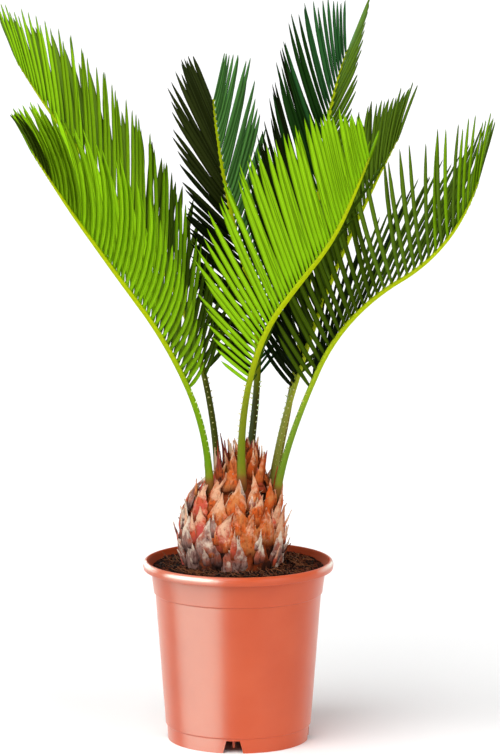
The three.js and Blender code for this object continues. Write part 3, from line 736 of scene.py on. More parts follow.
# Finishes of the caudex, by their material slot.
SHADED_PITH, RUSTY, ROSY, WEATHERED, TAN, DUSKY = range(6)
FLAKE = {
    "first": 137.0,
    "last": 206.0,
    "height": (9.0, 27.0),
    "width": (3.5, 10.0),
    "lift": (0.0, 0.26),
    "off": 3.4,
    "weathered_under": 152,
    "weathered_side": (165, 225),
    "seed": 5,
}
# Free tips that stand out of the caudex: bearing, height, length, width, lift and finish.
STRAY_TIPS = [
    (190, 195, 14, 6.0, 0.75, RUSTY),
    (200, 176, 13, 7.0, 0.6, WEATHERED),
    (172, 158, 14, 6.0, 0.5, WEATHERED),
    (204, 144, 11, 7.0, 0.45, WEATHERED),
    (-14, 166, 19, 7.0, 0.5, TAN),
    (-24, 188, 14, 5.5, 0.7, RUSTY),
    (-10, 150, 13, 7.0, 0.45, WEATHERED),
    (-22, 198, 22, 1.8, 0.9, DUSKY),
    (2, 144, 12, 11.0, 0.3, SHADED_PITH),
    (-60, 176, 20, 6.0, 0.35, TAN),
    (-110, 168, 20, 6.0, 0.35, WEATHERED),
    (-140, 184, 18, 5.5, 0.45, TAN),
]
# Foot x, foot y and height of the bracts in the shade; their dusky finish is painted shade.
SHADED_BRACTS = [(-15, 8, 38), (-12, 3, 34), (-13, -3, 30), (-10, 10, 42), (14, 9, 36)]
FOOT_RING = {"count": 15, "height": 132.0}  # leaf bases half sunk in the mix
HAIRS = {"count": 150, "above": 15, "off": 2.0, "length": 6, "thickness": 0.2, "bend": 1.6}
# Where each kind of piece starts in the numbers that shape it.
KEYS = {"foot_ring": 200, "flakes": 900, "stray_tips": 1500, "shaded_bracts": 1600}


def core_at(z):
    """Core radius and lean of the caudex at a height."""
    heights, radii, leans = zip(*CAUDEX_RINGS)
    return np.interp(z, heights, radii), np.interp(z, heights, leans)


def core_point(z, bearing, off):
    """A point at a height and bearing, this far off the core."""
    radius, lean = core_at(z)
    return np.array([lean + (radius + off) * math.cos(bearing), (radius + off) * math.sin(bearing), z])


def dry_leaf_base(name, low, high, tip, patch):
    """A dead leaf base: fibrous and papery, blotched, bleached towards its free tip and torn edges, with
    painted shade darkening it towards its foot.
    """
    made, tree, shader = finish_material(name, high, roughness=0.8, specular_ior_level=0.015)
    coords = node(tree, "ShaderNodeTexCoord").outputs
    place = node(tree, "ShaderNodeSeparateXYZ", {}, {"Vector": coords["UV"]}).outputs["Y"]

    def blotches(scale, detail, low_end=0.0, high_end=1.0):
        values = {"Scale": scale, "Detail": detail, "Roughness": 0.62}
        texture = node(tree, "ShaderNodeTexNoise", values, {"Vector": coords["Object"]})
        span = {"From Min": low_end, "From Max": high_end}
        return node(tree, "ShaderNodeMapRange", span, {"Value": texture})

    fibres = grain(tree, shader, 2.0, 1.3, (1, 1, 0.2))
    stops = [(0.4, low), (0.5, mixed(low, high, 0.75)), (0.6, high)]
    shade = node(tree, "ShaderNodeValToRGB", {"stops": stops}, {"Fac": fibres})
    speckle, drift = blotches(240.0, 5.0), blotches(34.0, 2.0, 0.36, 0.64)
    worn = node(tree, "ShaderNodeMath", {"operation": "MULTIPLY_ADD", 1: 1.5}, {0: speckle, 2: place})
    worn = node(tree, "ShaderNodeMath", {"operation": "MULTIPLY_ADD", 1: 0.7}, {0: drift, 2: worn})
    free_end = {"From Min": 1.5, "From Max": 2.08, "interpolation_type": "SMOOTHSTEP"}
    # Painted shade: dark at the foot of each leaf base, where it tucks in under the others, and gone by 0.3
    # of its height.
    buried = {"From Max": 0.3, "To Min": 1.0, "To Max": 0.0}
    coats = [
        (mixed(patch, low, 0.12), blotches(75.0, 3.0, 0.46, 0.6)),
        (tip, node(tree, "ShaderNodeMapRange", free_end, {"Value": worn})),
        (mixed(low, BLACK, 0.5), blotches(520.0, 6.0, 0.6, 0.74)),
        (mixed(low, BLACK, 0.6), node(tree, "ShaderNodeMapRange", buried, {"Value": place})),
    ]
    lay_coats(tree, shader, shade, *coats)
    return made


def caudex_finishes(caudex):
    """The materials of the caudex, in the order of their slots."""
    rust, straw, mauve, umber = shades(caudex, "rust", "straw", "mauve", "umber")
    rose, cream, tan = linear("#c8504a"), linear("#e6d2bc"), linear("#d0884e")
    # Painted shade: umber taken towards black, the dark end of the pith in the depths between the leaf bases
    # and of the dusky bracts.
    shade = mixed(umber, BLACK, 0.4)
    low, high = mixed(mauve, umber, 0.6), mixed(mauve, cream, 0.15)
    weathered = (low, high, mixed(cream, mauve, 0.12), mixed(rust, mauve, 0.5))
    looks = {
        "pith_between_leaf_bases": (shade, umber, mixed(umber, rust, 0.4), umber),
        "rusty_leaf_base": (mixed(rust, umber, 0.6), rust, mixed(straw, rust, 0.25), mixed(tan, rust, 0.3)),
        "rosy_leaf_base": (mixed(rust, umber, 0.45), mixed(rose, rust, 0.5), mixed(straw, rose, 0.15), rose),
        "weathered_leaf_base": weathered,
        "tan_bract": (mixed(rust, umber, 0.55), mixed(rust, tan, 0.45), straw, rust),
        "dusky_bract": (shade, mixed(umber, rust, 0.5), mixed(umber, rose, 0.35), rust),
    }
    return [dry_leaf_base(name, *colours) for name, colours in looks.items()]


def leaf_base(caudex, i, share, z, bearing):
    """One dead leaf base: the solid's shield, with a rounded bulge, a torn edge and a free tip."""
    width, height = lengths(caudex, "width", "height")
    width += (SCALE["top_width"] - width) * share**2
    height *= 1.04 + 0.2 * wobble(i + 3)
    half = width / 2 / core_at(z)[0] * (1 + 0.14 * wobble(i + 19))
    shoulder_z = z + height * SCALE["shoulder"]
    shoulder, end = core_at(shoulder_z)[0], core_at(z + height)[0]
    tip_reach = SCALE["stand"] * (0.7 + 0.6 * share) + shoulder - 1.5
    sway, bow = 0.17 * wobble(i + 40), 0.1 * wobble(i + 57)
    curl = 2.0 + 4.0 * wobble(i + 80)
    sunk = SCALE["buried"] + 9.0 * max(0, 1 - share / 0.25)
    rings = []
    for v in np.linspace(0, 1, 17):
        at = z - sunk + (height + sunk) * v
        radius, lean = core_at(at)
        reach = radius + (tip_reach - end) * v**1.6 + curl * max(0, v - 0.7) * 2
        if at > shoulder_z:
            reach = max(reach, shoulder + (tip_reach - shoulder) * v)
        swell = SCALE["bulge"] * math.sin(math.pi * min(1, 0.08 + v / 0.95)) ** 0.7
        spread = half * np.interp(v, *SCALE_OUTLINE)
        torn = [1 + 0.6 * v * rough(v * 9, i * 3.7, side * 5.0) for side in (-1, 1)]
        ring = []
        for x, inner in SCALE_SECTION:
            crumple = rough(x * 3.1, v * 4.5, i * 7.3)
            fold = abs(rough(x * 5.5, v * 0.9, i * 4.1))
            relief = (0.8 * crumple + 1.3 * fold + 0.4 * rough(x * 9, v * 7, i * 2.9)) * (1 - inner)
            thick = inner * (1.5 - 1.0 * v) * (1 - 0.8 * x * x)
            r = reach + swell * (1 - 0.75 * x * x) - 1.1 * x * x * (1 - v) + relief - thick
            a = bearing + spread * x * torn[x > 0] + sway * v * v + bow * math.sin(math.pi * v)
            ring.append((lean + r * math.cos(a), r * math.sin(a), at + 0.8 * relief))
        rings.append(ring)
    return tube(rings, np.mean(rings[0], axis=0), np.mean(rings[-1], axis=0))


def bract(foot, bearing, height, width, flare, key):
    """A papery pointed bract on the crown, hollowed towards the middle and crumpled."""
    out = np.array([math.cos(bearing), math.sin(bearing), 0])
    side = np.array([-out[1], out[0], 0])
    rings = []
    for v in np.linspace(0, 1, 11):
        lean = flare * v + 0.1 * wobble(key + 5) * v * v
        centre = foot + out * height * lean + side * height * 0.12 * wobble(key + 9) * v * v
        centre[2] += height * v
        half = width / 2 * np.interp(v, *BRACT_OUTLINE) * (1 + 0.12 * wobble(key * 7 + v * 29))
        ring = []
        for a in turns(14):
            x = math.cos(a)
            bow = 0.4 * half * x * x - 0.7 * rough(x * 5, v * 4, key * 3.1)
            ring.append(centre + side * half * x + out * (0.45 * (1 - 0.6 * v) * math.sin(a) - bow))
        rings.append(ring)
    return tube(rings, np.mean(rings[0], axis=0), np.mean(rings[-1], axis=0))


def flake_on(bearing, z, height, width, lift, key):
    """A papery flake that stands off the leaf bases at a bearing and height."""
    slope = (core_at(z + height)[0] - core_at(z)[0]) / height
    return bract(core_point(z, bearing, FLAKE["off"]), bearing, height, width, slope + lift, key)


def add_leaf_bases(skin, caudex):
    """The spiral of leaf bases up the core, and the ring half sunk in the mix at its foot."""
    for i in range(caudex.scales):
        share = i / (caudex.scales - 1)
        start, end = SCALE["weathered_side"]
        if share < 0.2 or (share < 0.85 and start < (i * SCALE["turn"]) % 360 < end):
            finish = WEATHERED if wobble(i + 31) > -0.6 else ROSY
        else:
            finish = ROSY if share < 0.6 and wobble(i + 60) > 0.1 else RUSTY
        z = along((SCALE["first"], SCALE["last"]), share**1.05)
        turn = math.radians(i * SCALE["turn"] + 5 * wobble(i + 11))
        skin.add(leaf_base(caudex, i, share, z, turn), finish)
    for i in range(FOOT_RING["count"]):
        turn = math.tau * (i + 0.3 * wobble(i + 5)) / FOOT_RING["count"]
        z = FOOT_RING["height"] + 3 * wobble(i + 71)
        finish = WEATHERED if wobble(i + 90) > -0.4 else SHADED_PITH
        skin.add(leaf_base(caudex, KEYS["foot_ring"] + i, 0.0, z, turn), finish)


def add_flakes(skin, caudex, draw):
    """Loose papery flakes dealt over the leaf bases, and the free tips that stand out of them."""
    for i in range(caudex.flakes):
        z, bearing = draw.uniform(FLAKE["first"], FLAKE["last"]), draw.uniform(0, math.tau)
        height, lift, width = (draw.uniform(*FLAKE[key]) for key in ("height", "lift", "width"))
        flake = flake_on(bearing, z, height, width, lift, KEYS["flakes"] + i * 3)
        start, end = FLAKE["weathered_side"]
        weathered = z < FLAKE["weathered_under"] or start < math.degrees(bearing) < end
        dealt = (WEATHERED, WEATHERED, ROSY) if weathered else (RUSTY, ROSY, TAN, RUSTY, WEATHERED)
        skin.add(flake, dealt[i % len(dealt)])
    for i, (bearing, *form, finish) in enumerate(STRAY_TIPS):
        skin.add(flake_on(math.radians(bearing), *form, KEYS["stray_tips"] + i * 3), finish)


def add_bracts(skin, caudex, draw):
    """The pointed bracts of the crown, clear of the petioles, and the shaded ones behind them."""
    for i, (x, y, height) in enumerate(SHADED_BRACTS):
        foot = np.array([x, y, BRACT["first"]])
        turn, key = math.radians(190 - 12 * i), KEYS["shaded_bracts"] + i * 3
        # Painted shade: the bracts behind the crown take the dark dusky finish.
        skin.add(bract(foot, turn, height, 10.0, 0.04, key), DUSKY)
    feet = [np.array(values["foot"], float) for values in FRONDS.values()]
    for i in range(caudex.bracts):
        share = (i + 0.5) / caudex.bracts
        bearing = math.radians(i * SCALE["turn"] + 40)
        z = along((BRACT["first"], BRACT["last"]), share)
        foot = core_point(z, bearing, -0.8)
        height = min(along(BRACT["height"], share) * draw.uniform(0.75, 1.15), BRACT["top"] - z)
        width = along(BRACT["width"], share) * draw.uniform(0.8, 1.15)
        if min(math.hypot(*(foot - petiole)[:2]) for petiole in feet) > RACHIS["root"]:
            flare = along(BRACT["flare"], share)
            skin.add(bract(foot, bearing, height, width, flare, i * 3), (TAN, DUSKY, RUSTY)[i % 3])


def build_caudex(context):
    caudex = context.scene.sago_caudex
    (low, *_, low_lean), (high, *_, high_lean) = CAUDEX_RINGS[0], CAUDEX_RINGS[-1]
    rings = []
    for z in np.linspace(low + 0.4, high, CORE["rings"]):
        radius, lean = core_at(z)
        rings.append(circle(radius - CORE["sunk"], z, CORE["sides"], lean))
    skin = Skin(tube(rings, (low_lean, 0, low + 0.4), (high_lean, 0, high + 1)))
    draw = random.Random(FLAKE["seed"])
    add_leaf_bases(skin, caudex)
    add_flakes(skin, caudex, draw)
    add_bracts(skin, caudex, draw)
    settle(skin.piece("caudex_leaf_bases", caudex_finishes(caudex), 70), "caudex", "caudex")

    points = []
    for _ in range(HAIRS["count"]):
        z = along((SCALE["first"], SCALE["last"]), draw.uniform(0.1, 1)) + HAIRS["above"]
        a = draw.uniform(0, math.tau)
        lift = draw.uniform(0.7, 1.6)
        aim = (math.cos(a + draw.uniform(-0.6, 0.6)), math.sin(a + draw.uniform(-0.6, 0.6)), lift)
        points.append((core_point(z, a, HAIRS["off"]), aim, draw.uniform(0.4, 1.2)))
    fibre = dry_plant_matter("dry_leaf_fibre", linear("#8a5a3a"), linear("#d8b48c"))
    strew_fibres("caudex_fibres", points, HAIRS, "caudex", fibre)


# -------------------------------------------------------------------- fronds

RACHIS = {"steps": 60, "root": 4.4, "petiole": 3.8, "middle": 2.7, "tip": 1.5, "sunk": 13.0}
STALK = {"slim": 0.8, "rings": 64, "sides": 12}  # slim: share of the radius that the rule gives
LEAFLET = {
    "samples": 20,
    "root": 0.5,
    "widest": 0.28,
    "clear": 0.8,
    "full_width_from": 85,  # length past which a leaflet has its whole width
    "least_width": 0.45,
    "ease": [-60, -30, 0, 30, 60],
    "wobble_angle": 2.4,
    "wobble_length": 0.06,
    "wobble_twist": 7,
}
SAMPLES = np.arange(LEAFLET["samples"] + 1) / LEAFLET["samples"]  # places of a leaflet's points along it

# Turns tried for a leaflet that would touch another frond: keel, spread, length share.
TRIES = [
    (0, 0, 1), (7, 0, 1), (-7, 0, 1), (14, 0, 1), (-14, 0, 1), (0, -8, 1), (8, -8, 1), (-8, -8, 1),
    (21, 0, 1), (-21, 0, 1), (16, -12, 1), (-16, -12, 1), (28, 0, 1), (28, -10, 1), (0, -18, 1),
    (12, -20, 1), (-12, -20, 1), (0, -28, 1), (20, -28, 1), (10, 0, 0.8), (-10, 0, 0.8),
    (20, -10, 0.8), (-20, -10, 0.8), (0, -20, 0.8), (15, -30, 0.8), (10, 0, 0.6), (-10, 0, 0.6),
    (0, -15, 0.6), (20, -25, 0.6), (-20, -25, 0.6), (0, -30, 0.45),
]

# Each frond by the source's rule: its foot, length, petiole and stalk colour, its lean and bearing
# from foot to tip, and its pairs of leaflets. Of its two rows of leaflets, 1 is on the left of someone
# who looks out along the frond from its upper side: keel, spread from the rachis, reach, curl, twist
# and width of its leaflets and their tints, from the foot to the tip. A finer row has more leaflets.
# The tints and stalk colours carry painted light: lime rows are painted lit, and night, dusk, forest and
# olive rows and the darker stalks at the back are painted shade.
FRONDS = {
    "frond_front": dict(
        foot=(2.7, -20, 212), length=299, petiole=74, stalk="#7a861a", pairs=32, first_row=-1,
        lean=[-4, 9.5, 23.5, 43, 45, 29.5, 25], bearing=[-48, -44, -40], slot="frond_lime",
        rows={
            1: dict(
                keel=(32, 41), spread=[85, 75, 62, 47, 30], reach=[20, 63, 83, 66, 24],
                curl=6, twist=(30, 30), width=5.4, tints=["green", "green", "fresh"],
            ),
            -1: dict(
                keel=(55, 54), spread=[73, 51, 46, 41, 33], reach=[23, 103, 107, 87, 35],
                curl=4, twist=(8, 2), width=4.8, finer=1.5, tints=["lime", "lime", "lime", "lime"],
            ),
        },
    ),
    "frond_left_front": dict(
        foot=(-22, -16, 209), length=303, petiole=75, stalk="#729c12", pairs=40, first_row=1,
        lean=[2.5, 24, 37, 36.5, 32.5], bearing=[197.5, 202, 206], slot="frond_lime",
        rows={
            1: dict(
                keel=(54, 53), spread=[63, 56, 45, 28, 12], reach=[27, 66, 99, 88, 35],
                curl=30, twist=(-26, -44), width=5.6,
                tints=["fresh", "lime", "lime", "lime", "fresh", "olive"],
            ),
            -1: dict(
                keel=(53, 53), spread=[66, 59, 50, 38, 14], reach=[41, 75, 95, 85, 36],
                curl=24, twist=(20, 20), width=5.4, tints=["green", "lime", "lime", "lime"],
            ),
        },
    ),
    "frond_right_front": dict(
        foot=(30.5, -10, 202), length=301, petiole=80, stalk="#76962a", pairs=31, first_row=-1,
        lean=[12, 20, 24.5, 42.5, 59, 37.5, 17], bearing=[-17, -17, -17], slot="frond_green",
        rows={
            1: dict(
                keel=(42, 44), spread=[38, 33, 35, 34, 20], reach=[66, 105, 113, 96, 52],
                curl=6, twist=(-8, -8), width=4.8, tints=["night", "olive", "olive", "green"],
            ),
            -1: dict(
                keel=(57, 52), spread=[59, 58, 57, 41, 18], reach=[50, 98, 112, 98, 54],
                curl=7, twist=(-12, -42), width=4.4, tints=["olive", "olive", "green", "fresh"],
            ),
        },
    ),
    "frond_left_back": dict(
        foot=(-15.5, 12, 206), length=377, petiole=80, stalk="#444812", pairs=36, first_row=1,
        lean=[2.5, 15.5, 35.5, 41.5, 33.5], bearing=[159.5, 159.5, 159.5], slot="frond_green",
        rows={
            1: dict(
                keel=(53, 61), spread=[53, 48, 55, 48, 22], reach=[57, 95, 107, 94, 50],
                curl=7, twist=(8, -7), width=4.4, finer=1.4, tints=["olive", "fresh", "fresh", "lime"],
            ),
            -1: dict(
                keel=(50, 50), spread=[58, 46, 34, 27, 14], reach=[40, 66, 84, 84, 44],
                curl=7, twist=(26, 26), width=5.4, tints=["olive", "olive", "green", "green"],
            ),
        },
    ),
    "frond_back_right": dict(
        foot=(27, 14, 201), length=355, petiole=82, stalk="#7a7028", pairs=36, first_row=1,
        lean=[17, 15.5, 11, 12, 37], bearing=[42, 54, 57.5], slot="frond_dark",
        rows={
            1: dict(
                keel=(83, 77), spread=[55, 40, 37, 44, 28], reach=[108, 134, 113, 93, 40],
                curl=10, twist=(-16, -9), width=4.0, finer=1.3, tints=["night", "night", "forest", "teal"],
            ),
            -1: dict(
                keel=(36, 39), spread=[63, 61, 58, 51, 20], reach=[46, 64, 68, 62, 48],
                curl=4, twist=(-14, -14), width=5.0, tints=["olive", "green", "green", "green"],
            ),
        },
    ),
    "frond_back_left": dict(
        foot=(7, 18, 207), length=309, petiole=76, stalk="#3c3a14", pairs=39, first_row=1,
        lean=[8.5, 14.5, 20.5, 24, 22.5], bearing=[36, 76, 137, 119, 102], slot="frond_dark",
        rows={
            1: dict(
                keel=(20, 24), spread=[57, 58, 57, 26, 21], reach=[47, 70, 71, 84, 38],
                curl=2, twist=(-20, -20), width=4.7, tints=["night", "night", "dusk", "dusk"],
            ),
            -1: dict(
                keel=(30, 31), spread=[50, 40, 31, 24, 18], reach=[36, 64, 80, 88, 39],
                curl=3, twist=(38, 38), width=5.2, tints=["forest", "sea", "sea", "sea"],
            ),
        },
    ),
    "frond_right_back": dict(
        foot=(26, 2, 200), length=294, petiole=80, stalk="#8a8c3a", pairs=33, first_row=-1,
        lean=[8, 18, 22, 27.5, 30.5], bearing=[21, 23, 24.5], slot="frond_green",
        rows={
            1: dict(
                keel=(60, 60), spread=[60, 51, 41, 31, 16], reach=[38, 63, 77, 71, 46],
                curl=14, twist=(26, 26), width=5.0, tints=["night", "olive", "olive", "green"],
            ),
            -1: dict(
                keel=(61, 61), spread=[66, 61, 55, 44, 16], reach=[39, 66, 81, 74, 48],
                curl=12, twist=(-6, -6), width=5.0, tints=["night", "olive", "green", "green"],
            ),
        },
    ),
}


def directions(lean, bearing):
    """Forward, upper-side and sideways directions for a lean and bearing in degrees."""
    st, ct = math.sin(math.radians(lean)), math.cos(math.radians(lean))
    sb, cb = math.sin(math.radians(bearing)), math.cos(math.radians(bearing))
    return np.array([st * cb, st * sb, ct]), np.array([-ct * cb, -ct * sb, st]), np.array([-sb, cb, 0.0])


def rachis_frame(frond, s):
    share = s / frond["length"]
    return directions(along(frond["lean"], share), along(frond["bearing"], share))


def leaflet_frame(frond, s):
    """The rachis frame eased over its bends."""
    places = [min(max(s + d, 0), frond["length"]) / frond["length"] for d in LEAFLET["ease"]]
    lean, bearing = (sum(along(frond[key], x) for x in places) / len(places) for key in ("lean", "bearing"))
    return directions(lean, bearing)


def rachis_path(frond):
    step = frond["length"] / RACHIS["steps"]
    points = [np.array(frond["foot"], float)]
    for i in range(RACHIS["steps"]):
        points.append(points[i] + rachis_frame(frond, (i + 0.5) * step)[0] * step)
    return points


def rachis_point(frond, s):
    if s < 0:
        return frond["path"][0] + rachis_frame(frond, 0)[0] * s
    at = min(s / frond["length"] * RACHIS["steps"], RACHIS["steps"])
    i = min(int(at), RACHIS["steps"] - 1)
    return frond["path"][i] + (frond["path"][i + 1] - frond["path"][i]) * (at - i)


def rachis_radius(frond, s):
    stops = [0, 25, frond["petiole"], (frond["petiole"] + frond["length"]) / 2, frond["length"]]
    radii = [RACHIS["root"], RACHIS["petiole"], RACHIS["petiole"] * 0.86, RACHIS["middle"], RACHIS["tip"]]
    return float(np.interp(s, stops, radii))


def half_widths(width):
    """Half widths along a leaflet of this width, as its clearance is tested."""
    return width / 2 * np.interp(SAMPLES, [0, LEAFLET["widest"], 0.7, 1], [LEAFLET["root"], 1, 0.85, 0])


def leaflet_count(frond, side):
    """How many leaflets a row has: a finer row has more of them than the solid, and narrower."""
    return round(frond["pairs"] * frond["rows"][side].get("finer", 1))


def leaflet_line(frond, k, side, turn):
    """Centre line of one leaflet with its flat direction, turned as one try asks."""
    lift, fold, cut = turn
    row = frond["rows"][side]
    v = (k + (0.25 if side > 0 else 0.75)) / leaflet_count(frond, side)
    s = frond["petiole"] + (frond["length"] - frond["petiole"]) * v
    t, n, b = leaflet_frame(frond, s)
    keel = math.radians(along(row["keel"], v) + lift)
    out = b * side * math.cos(keel) + n * math.sin(keel)
    key = frond["index"] * 200 + k * 2 + (1 if side > 0 else 0)
    spread = eased(row["spread"], v) + LEAFLET["wobble_angle"] * wobble(key) + fold
    reach = eased(row["reach"], v) * (1 + LEAFLET["wobble_length"] * wobble(key + 0.5))
    least = LEAFLET["least_width"]
    width = row["width"] * (least + (1 - least) * min(1, reach / LEAFLET["full_width_from"]))
    steps = LEAFLET["samples"]
    a = np.radians(spread - row["curl"] * ((np.arange(steps) + 0.5) / steps - 0.15))
    moves = reach * cut / steps * (np.cos(a)[:, None] * t + np.sin(a)[:, None] * out)
    root = rachis_point(frond, s)
    points = np.vstack([root, root + np.cumsum(moves, axis=0)])
    face = unit(np.cross(t, out)) * side
    turned = (along(row["twist"], v) + LEAFLET["wobble_twist"] * wobble(key + 0.8)) * side
    return {"points": points, "face": face, "side": side, "width": width, "twist": turned, "v": v, "key": key}


class Taken:
    """The points already held by rachises and leaflets, with their half widths and owners."""

    def __init__(self, room=20000):
        self.at, self.half, self.owner = np.zeros((room, 3)), np.zeros(room), np.zeros(room, int)
        self.count = 0

    def hold(self, points, half, owner):
        new = slice(self.count, self.count + len(points))
        self.at[new], self.half[new], self.owner[new] = points, half, owner
        self.count = new.stop

    def clears(self, line, owner):
        """Whether a leaflet keeps clear of everything that another frond holds."""
        points, half = line["points"][1:], half_widths(line["width"])[1:]
        low, high = points.min(axis=0) - 12, points.max(axis=0) + 12
        at = self.at[: self.count]
        near = (self.owner[: self.count] != owner) & ((at > low) & (at < high)).all(axis=1)
        if not near.any():
            return True
        gaps = ((points[:, None] - at[near][None]) ** 2).sum(axis=2)
        reach = half[:, None] + self.half[: self.count][near][None] + LEAFLET["clear"]
        return not (gaps < reach * reach).any()


def rachises():
    """The fronds, numbered, with their rachis paths and no leaflets yet."""
    fronds = [{"name": name, "index": i, "leaflets": [], **v} for i, (name, v) in enumerate(FRONDS.items())]
    for frond in fronds:
        frond["path"] = rachis_path(frond)
    return fronds


def grow_fronds():
    """All fronds with their rachis paths and the leaflets that the source's rule sets on them."""
    fronds, taken = rachises(), Taken()
    for frond in fronds:
        stops = np.arange(0, frond["length"] + 1e-9, 4)
        points = np.array([rachis_point(frond, s) for s in stops])
        taken.hold(points, [rachis_radius(frond, s) + 1.5 for s in stops], frond["index"])
    for turn in (1, -1):
        for frond in fronds:
            side = frond["first_row"] * turn
            for k in range(leaflet_count(frond, side)):
                for attempt in TRIES:
                    line = leaflet_line(frond, k, side, attempt)
                    if taken.clears(line, frond["index"]):
                        frond["leaflets"].append(line)
                        taken.hold(line["points"], half_widths(line["width"]), frond["index"])
                        break
    return fronds


# Stations along a leaflet, and its half width there as a share of its widest.
BLADE_STATIONS = [0, 0.03, 0.08, 0.16, 0.3, 0.5, 0.7, 0.82, 0.91, 0.97]
BLADE_OUTLINE = ([0, 0.04, 0.15, 0.3, 0.7, 0.82, 0.92, 1], [0.45, 0.55, 0.88, 1, 0.98, 0.8, 0.44, 0.04])
# Section of a blade, over its upper side and back under it: across, height in thicknesses, and the
# part of the blade from there to the next point.
BLADE_SECTION = [
    (-1, -2.2, "margin"), (-0.7, -0.3, "top"), (-0.12, 0.6, "vein"), (0, 0.2, "vein"), (0.12, 0.6, "top"),
    (0.7, -0.3, "margin"), (1, -2.2, "margin"), (0.7, -1.2, "under"), (0.12, -0.5, "vein"),
    (0, -1.0, "vein"), (-0.12, -0.5, "under"), (-0.7, -1.2, "margin"),
]
# Parts of a blade, its top in three depths: how far its tint is dimmed, lifted, and its roughness.
BLADE_PARTS = {
    "deep": (0.7, 0.0, 0.45),
    "plain": (1.0, 0.0, 0.45),
    "bright": (1.28, 0.0, 0.45),
    # Painted shade: the underside dimmed slightly.
    "under": (0.95, 0.0, 0.55),
    "foot": (1.0, 0.0, 0.45),
    # Painted shade: the margins darkened to half, as dark lines between the leaflets.
    "margin": (0.5, 0.0, 0.55),
    # A paler midrib, lifted further as a painted highlight along it.
    "vein": (1.2, 0.005, 0.45),
}
PALE_FOOT = {"sea": 0.75, "teal": 0.75}  # how far a leaflet's foot takes the rachis's colour, else 0.35


def blade(line, thickness):
    """One leaflet: channelled over its midrib, ribbed under it, its margins rolled down."""
    points, turn = line["points"], math.radians(line["twist"])

    def at(u):
        return np.array([np.interp(u, SAMPLES, points[:, k]) for k in range(3)])

    rings = []
    for u in BLADE_STATIONS:
        run = unit(at(min(u + 0.05, 1)) - at(max(u - 0.05, 0)))
        flat = unit(np.cross(line["face"], run))
        across = flat * math.cos(turn) + np.cross(run, flat) * math.sin(turn)
        body = np.cross(run, across) * thickness * (1 - 0.5 * u)
        half = across * line["width"] / 2 * np.interp(u, *BLADE_OUTLINE)
        rings.append([at(u) + half * x + body * height for x, height, _ in BLADE_SECTION])
    return tube(rings, points[0] - unit(points[1] - points[0]), points[-1])


def waxy_leaflet(foliage, tint, part):
    """A cycad leaflet: stiff, waxy and smooth, with a soft gloss. Its colour is plain, by leaflet and part,
    with painted shade on its margins and underside and a painted highlight along its vein.
    """
    gain, lift, roughness = BLADE_PARTS[part]
    base = tuple(getattr(foliage, tint))
    if part == "foot":
        base = mixed(base, tuple(foliage.rib), PALE_FOOT.get(tint, 0.35))
    base = tuple(min(1, c * gain + lift) for c in base)
    name = f"waxy_leaflet_{tint}_{part}"
    made, tree, shader = finish_material(name, base, roughness=roughness, specular_ior_level=0.006)
    grain(tree, shader, 1.2, 0.06)
    return made


def waxy_rachis(name, foliage, stalk):
    """The rachis: waxy green stalk, yellow-green between the leaflets, brown at its very foot."""
    rib = tuple(foliage.rib)
    made, tree, shader = finish_material(name, rib, roughness=0.45, specular_ior_level=0.01)
    coords = node(tree, "ShaderNodeTexCoord").outputs
    place = node(tree, "ShaderNodeSeparateXYZ", {}, {"Vector": coords["UV"]}).outputs["Y"]
    stops = [
        (0.0, linear("#5a3018")),
        (0.03, linear("#7e4a26")),
        (0.045, mixed(stalk, linear("#7a5a22"), 0.5)),
        (0.075, mixed(stalk, linear("#3a5010"), 0.3)),
        (0.22, stalk),
        (0.36, mixed(stalk, rib, 0.7)),
        (0.5, rib),
        (0.92, rib),
        (1.0, mixed(rib, stalk, 0.5)),
    ]
    run = node(tree, "ShaderNodeValToRGB", {"stops": stops}, {"Fac": place})
    speckle = node(tree, "ShaderNodeTexNoise", {"Scale": 420.0, "Detail": 3.0}, {"Vector": coords["Object"]})
    span = {"From Min": 0.35, "From Max": 0.7, "To Min": 0.0, "To Max": 0.22}
    dim = node(tree, "ShaderNodeMapRange", span, {"Value": speckle})
    lay_coats(tree, shader, run, (mixed(stalk, linear("#5a4a20"), 0.6), dim))
    return made


def rachis_skin(frond):
    """The rachis with its petiole: rounded below, flatter on its upper side, swollen at its foot."""
    rings = []
    length, sunk = frond["length"], RACHIS["sunk"]
    for s in [1 - sunk, -6, *np.linspace(0, length - 0.5, STALK["rings"])]:
        _, n, b = rachis_frame(frond, s)
        r = STALK["slim"] * rachis_radius(frond, s) * (1 + 0.12 * math.exp(-max(s, 0) / 8))
        r *= np.interp(s / length, [0, 0.85, 1], [1, 0.92, 0.6])
        ring = []
        for a in turns(STALK["sides"]):
            up = math.cos(a) * (0.72 if math.cos(a) > 0 else 1.0)
            ring.append(rachis_point(frond, s) + n * r * up + b * r * 1.05 * math.sin(a))
        rings.append(ring)
    tip = rachis_point(frond, length) + rachis_frame(frond, length)[0] * 0.6
    return tube(rings, rachis_point(frond, 0.5 - sunk), tip)


def leaflet_slots(line, tints, looks):
    """The material slot of each face of a leaflet. New looks, each a tint and a part, join the list."""
    at = line["v"] * len(tints) + 0.6 * wobble(line["key"] + 11)
    tint = tints[int(min(max(at, 0), len(tints) - 1))]
    chance = wobble(line["key"] + 23)
    top = "deep" if chance < -0.45 else "bright" if chance > 0.5 else "plain"
    slots = {}
    for part in (top, "under", "foot", "margin", "vein"):
        if (tint, part) not in looks:
            looks.append((tint, part))
        slots[part] = looks.index((tint, part))
    slots["top"] = slots[top]
    foot, across = slots["foot"], [slots[part] for *_, part in BLADE_SECTION]
    ends = [slot for side in across for slot in (foot, side)]
    return [foot] * len(across) + across * (len(BLADE_STATIONS) - 2) + ends


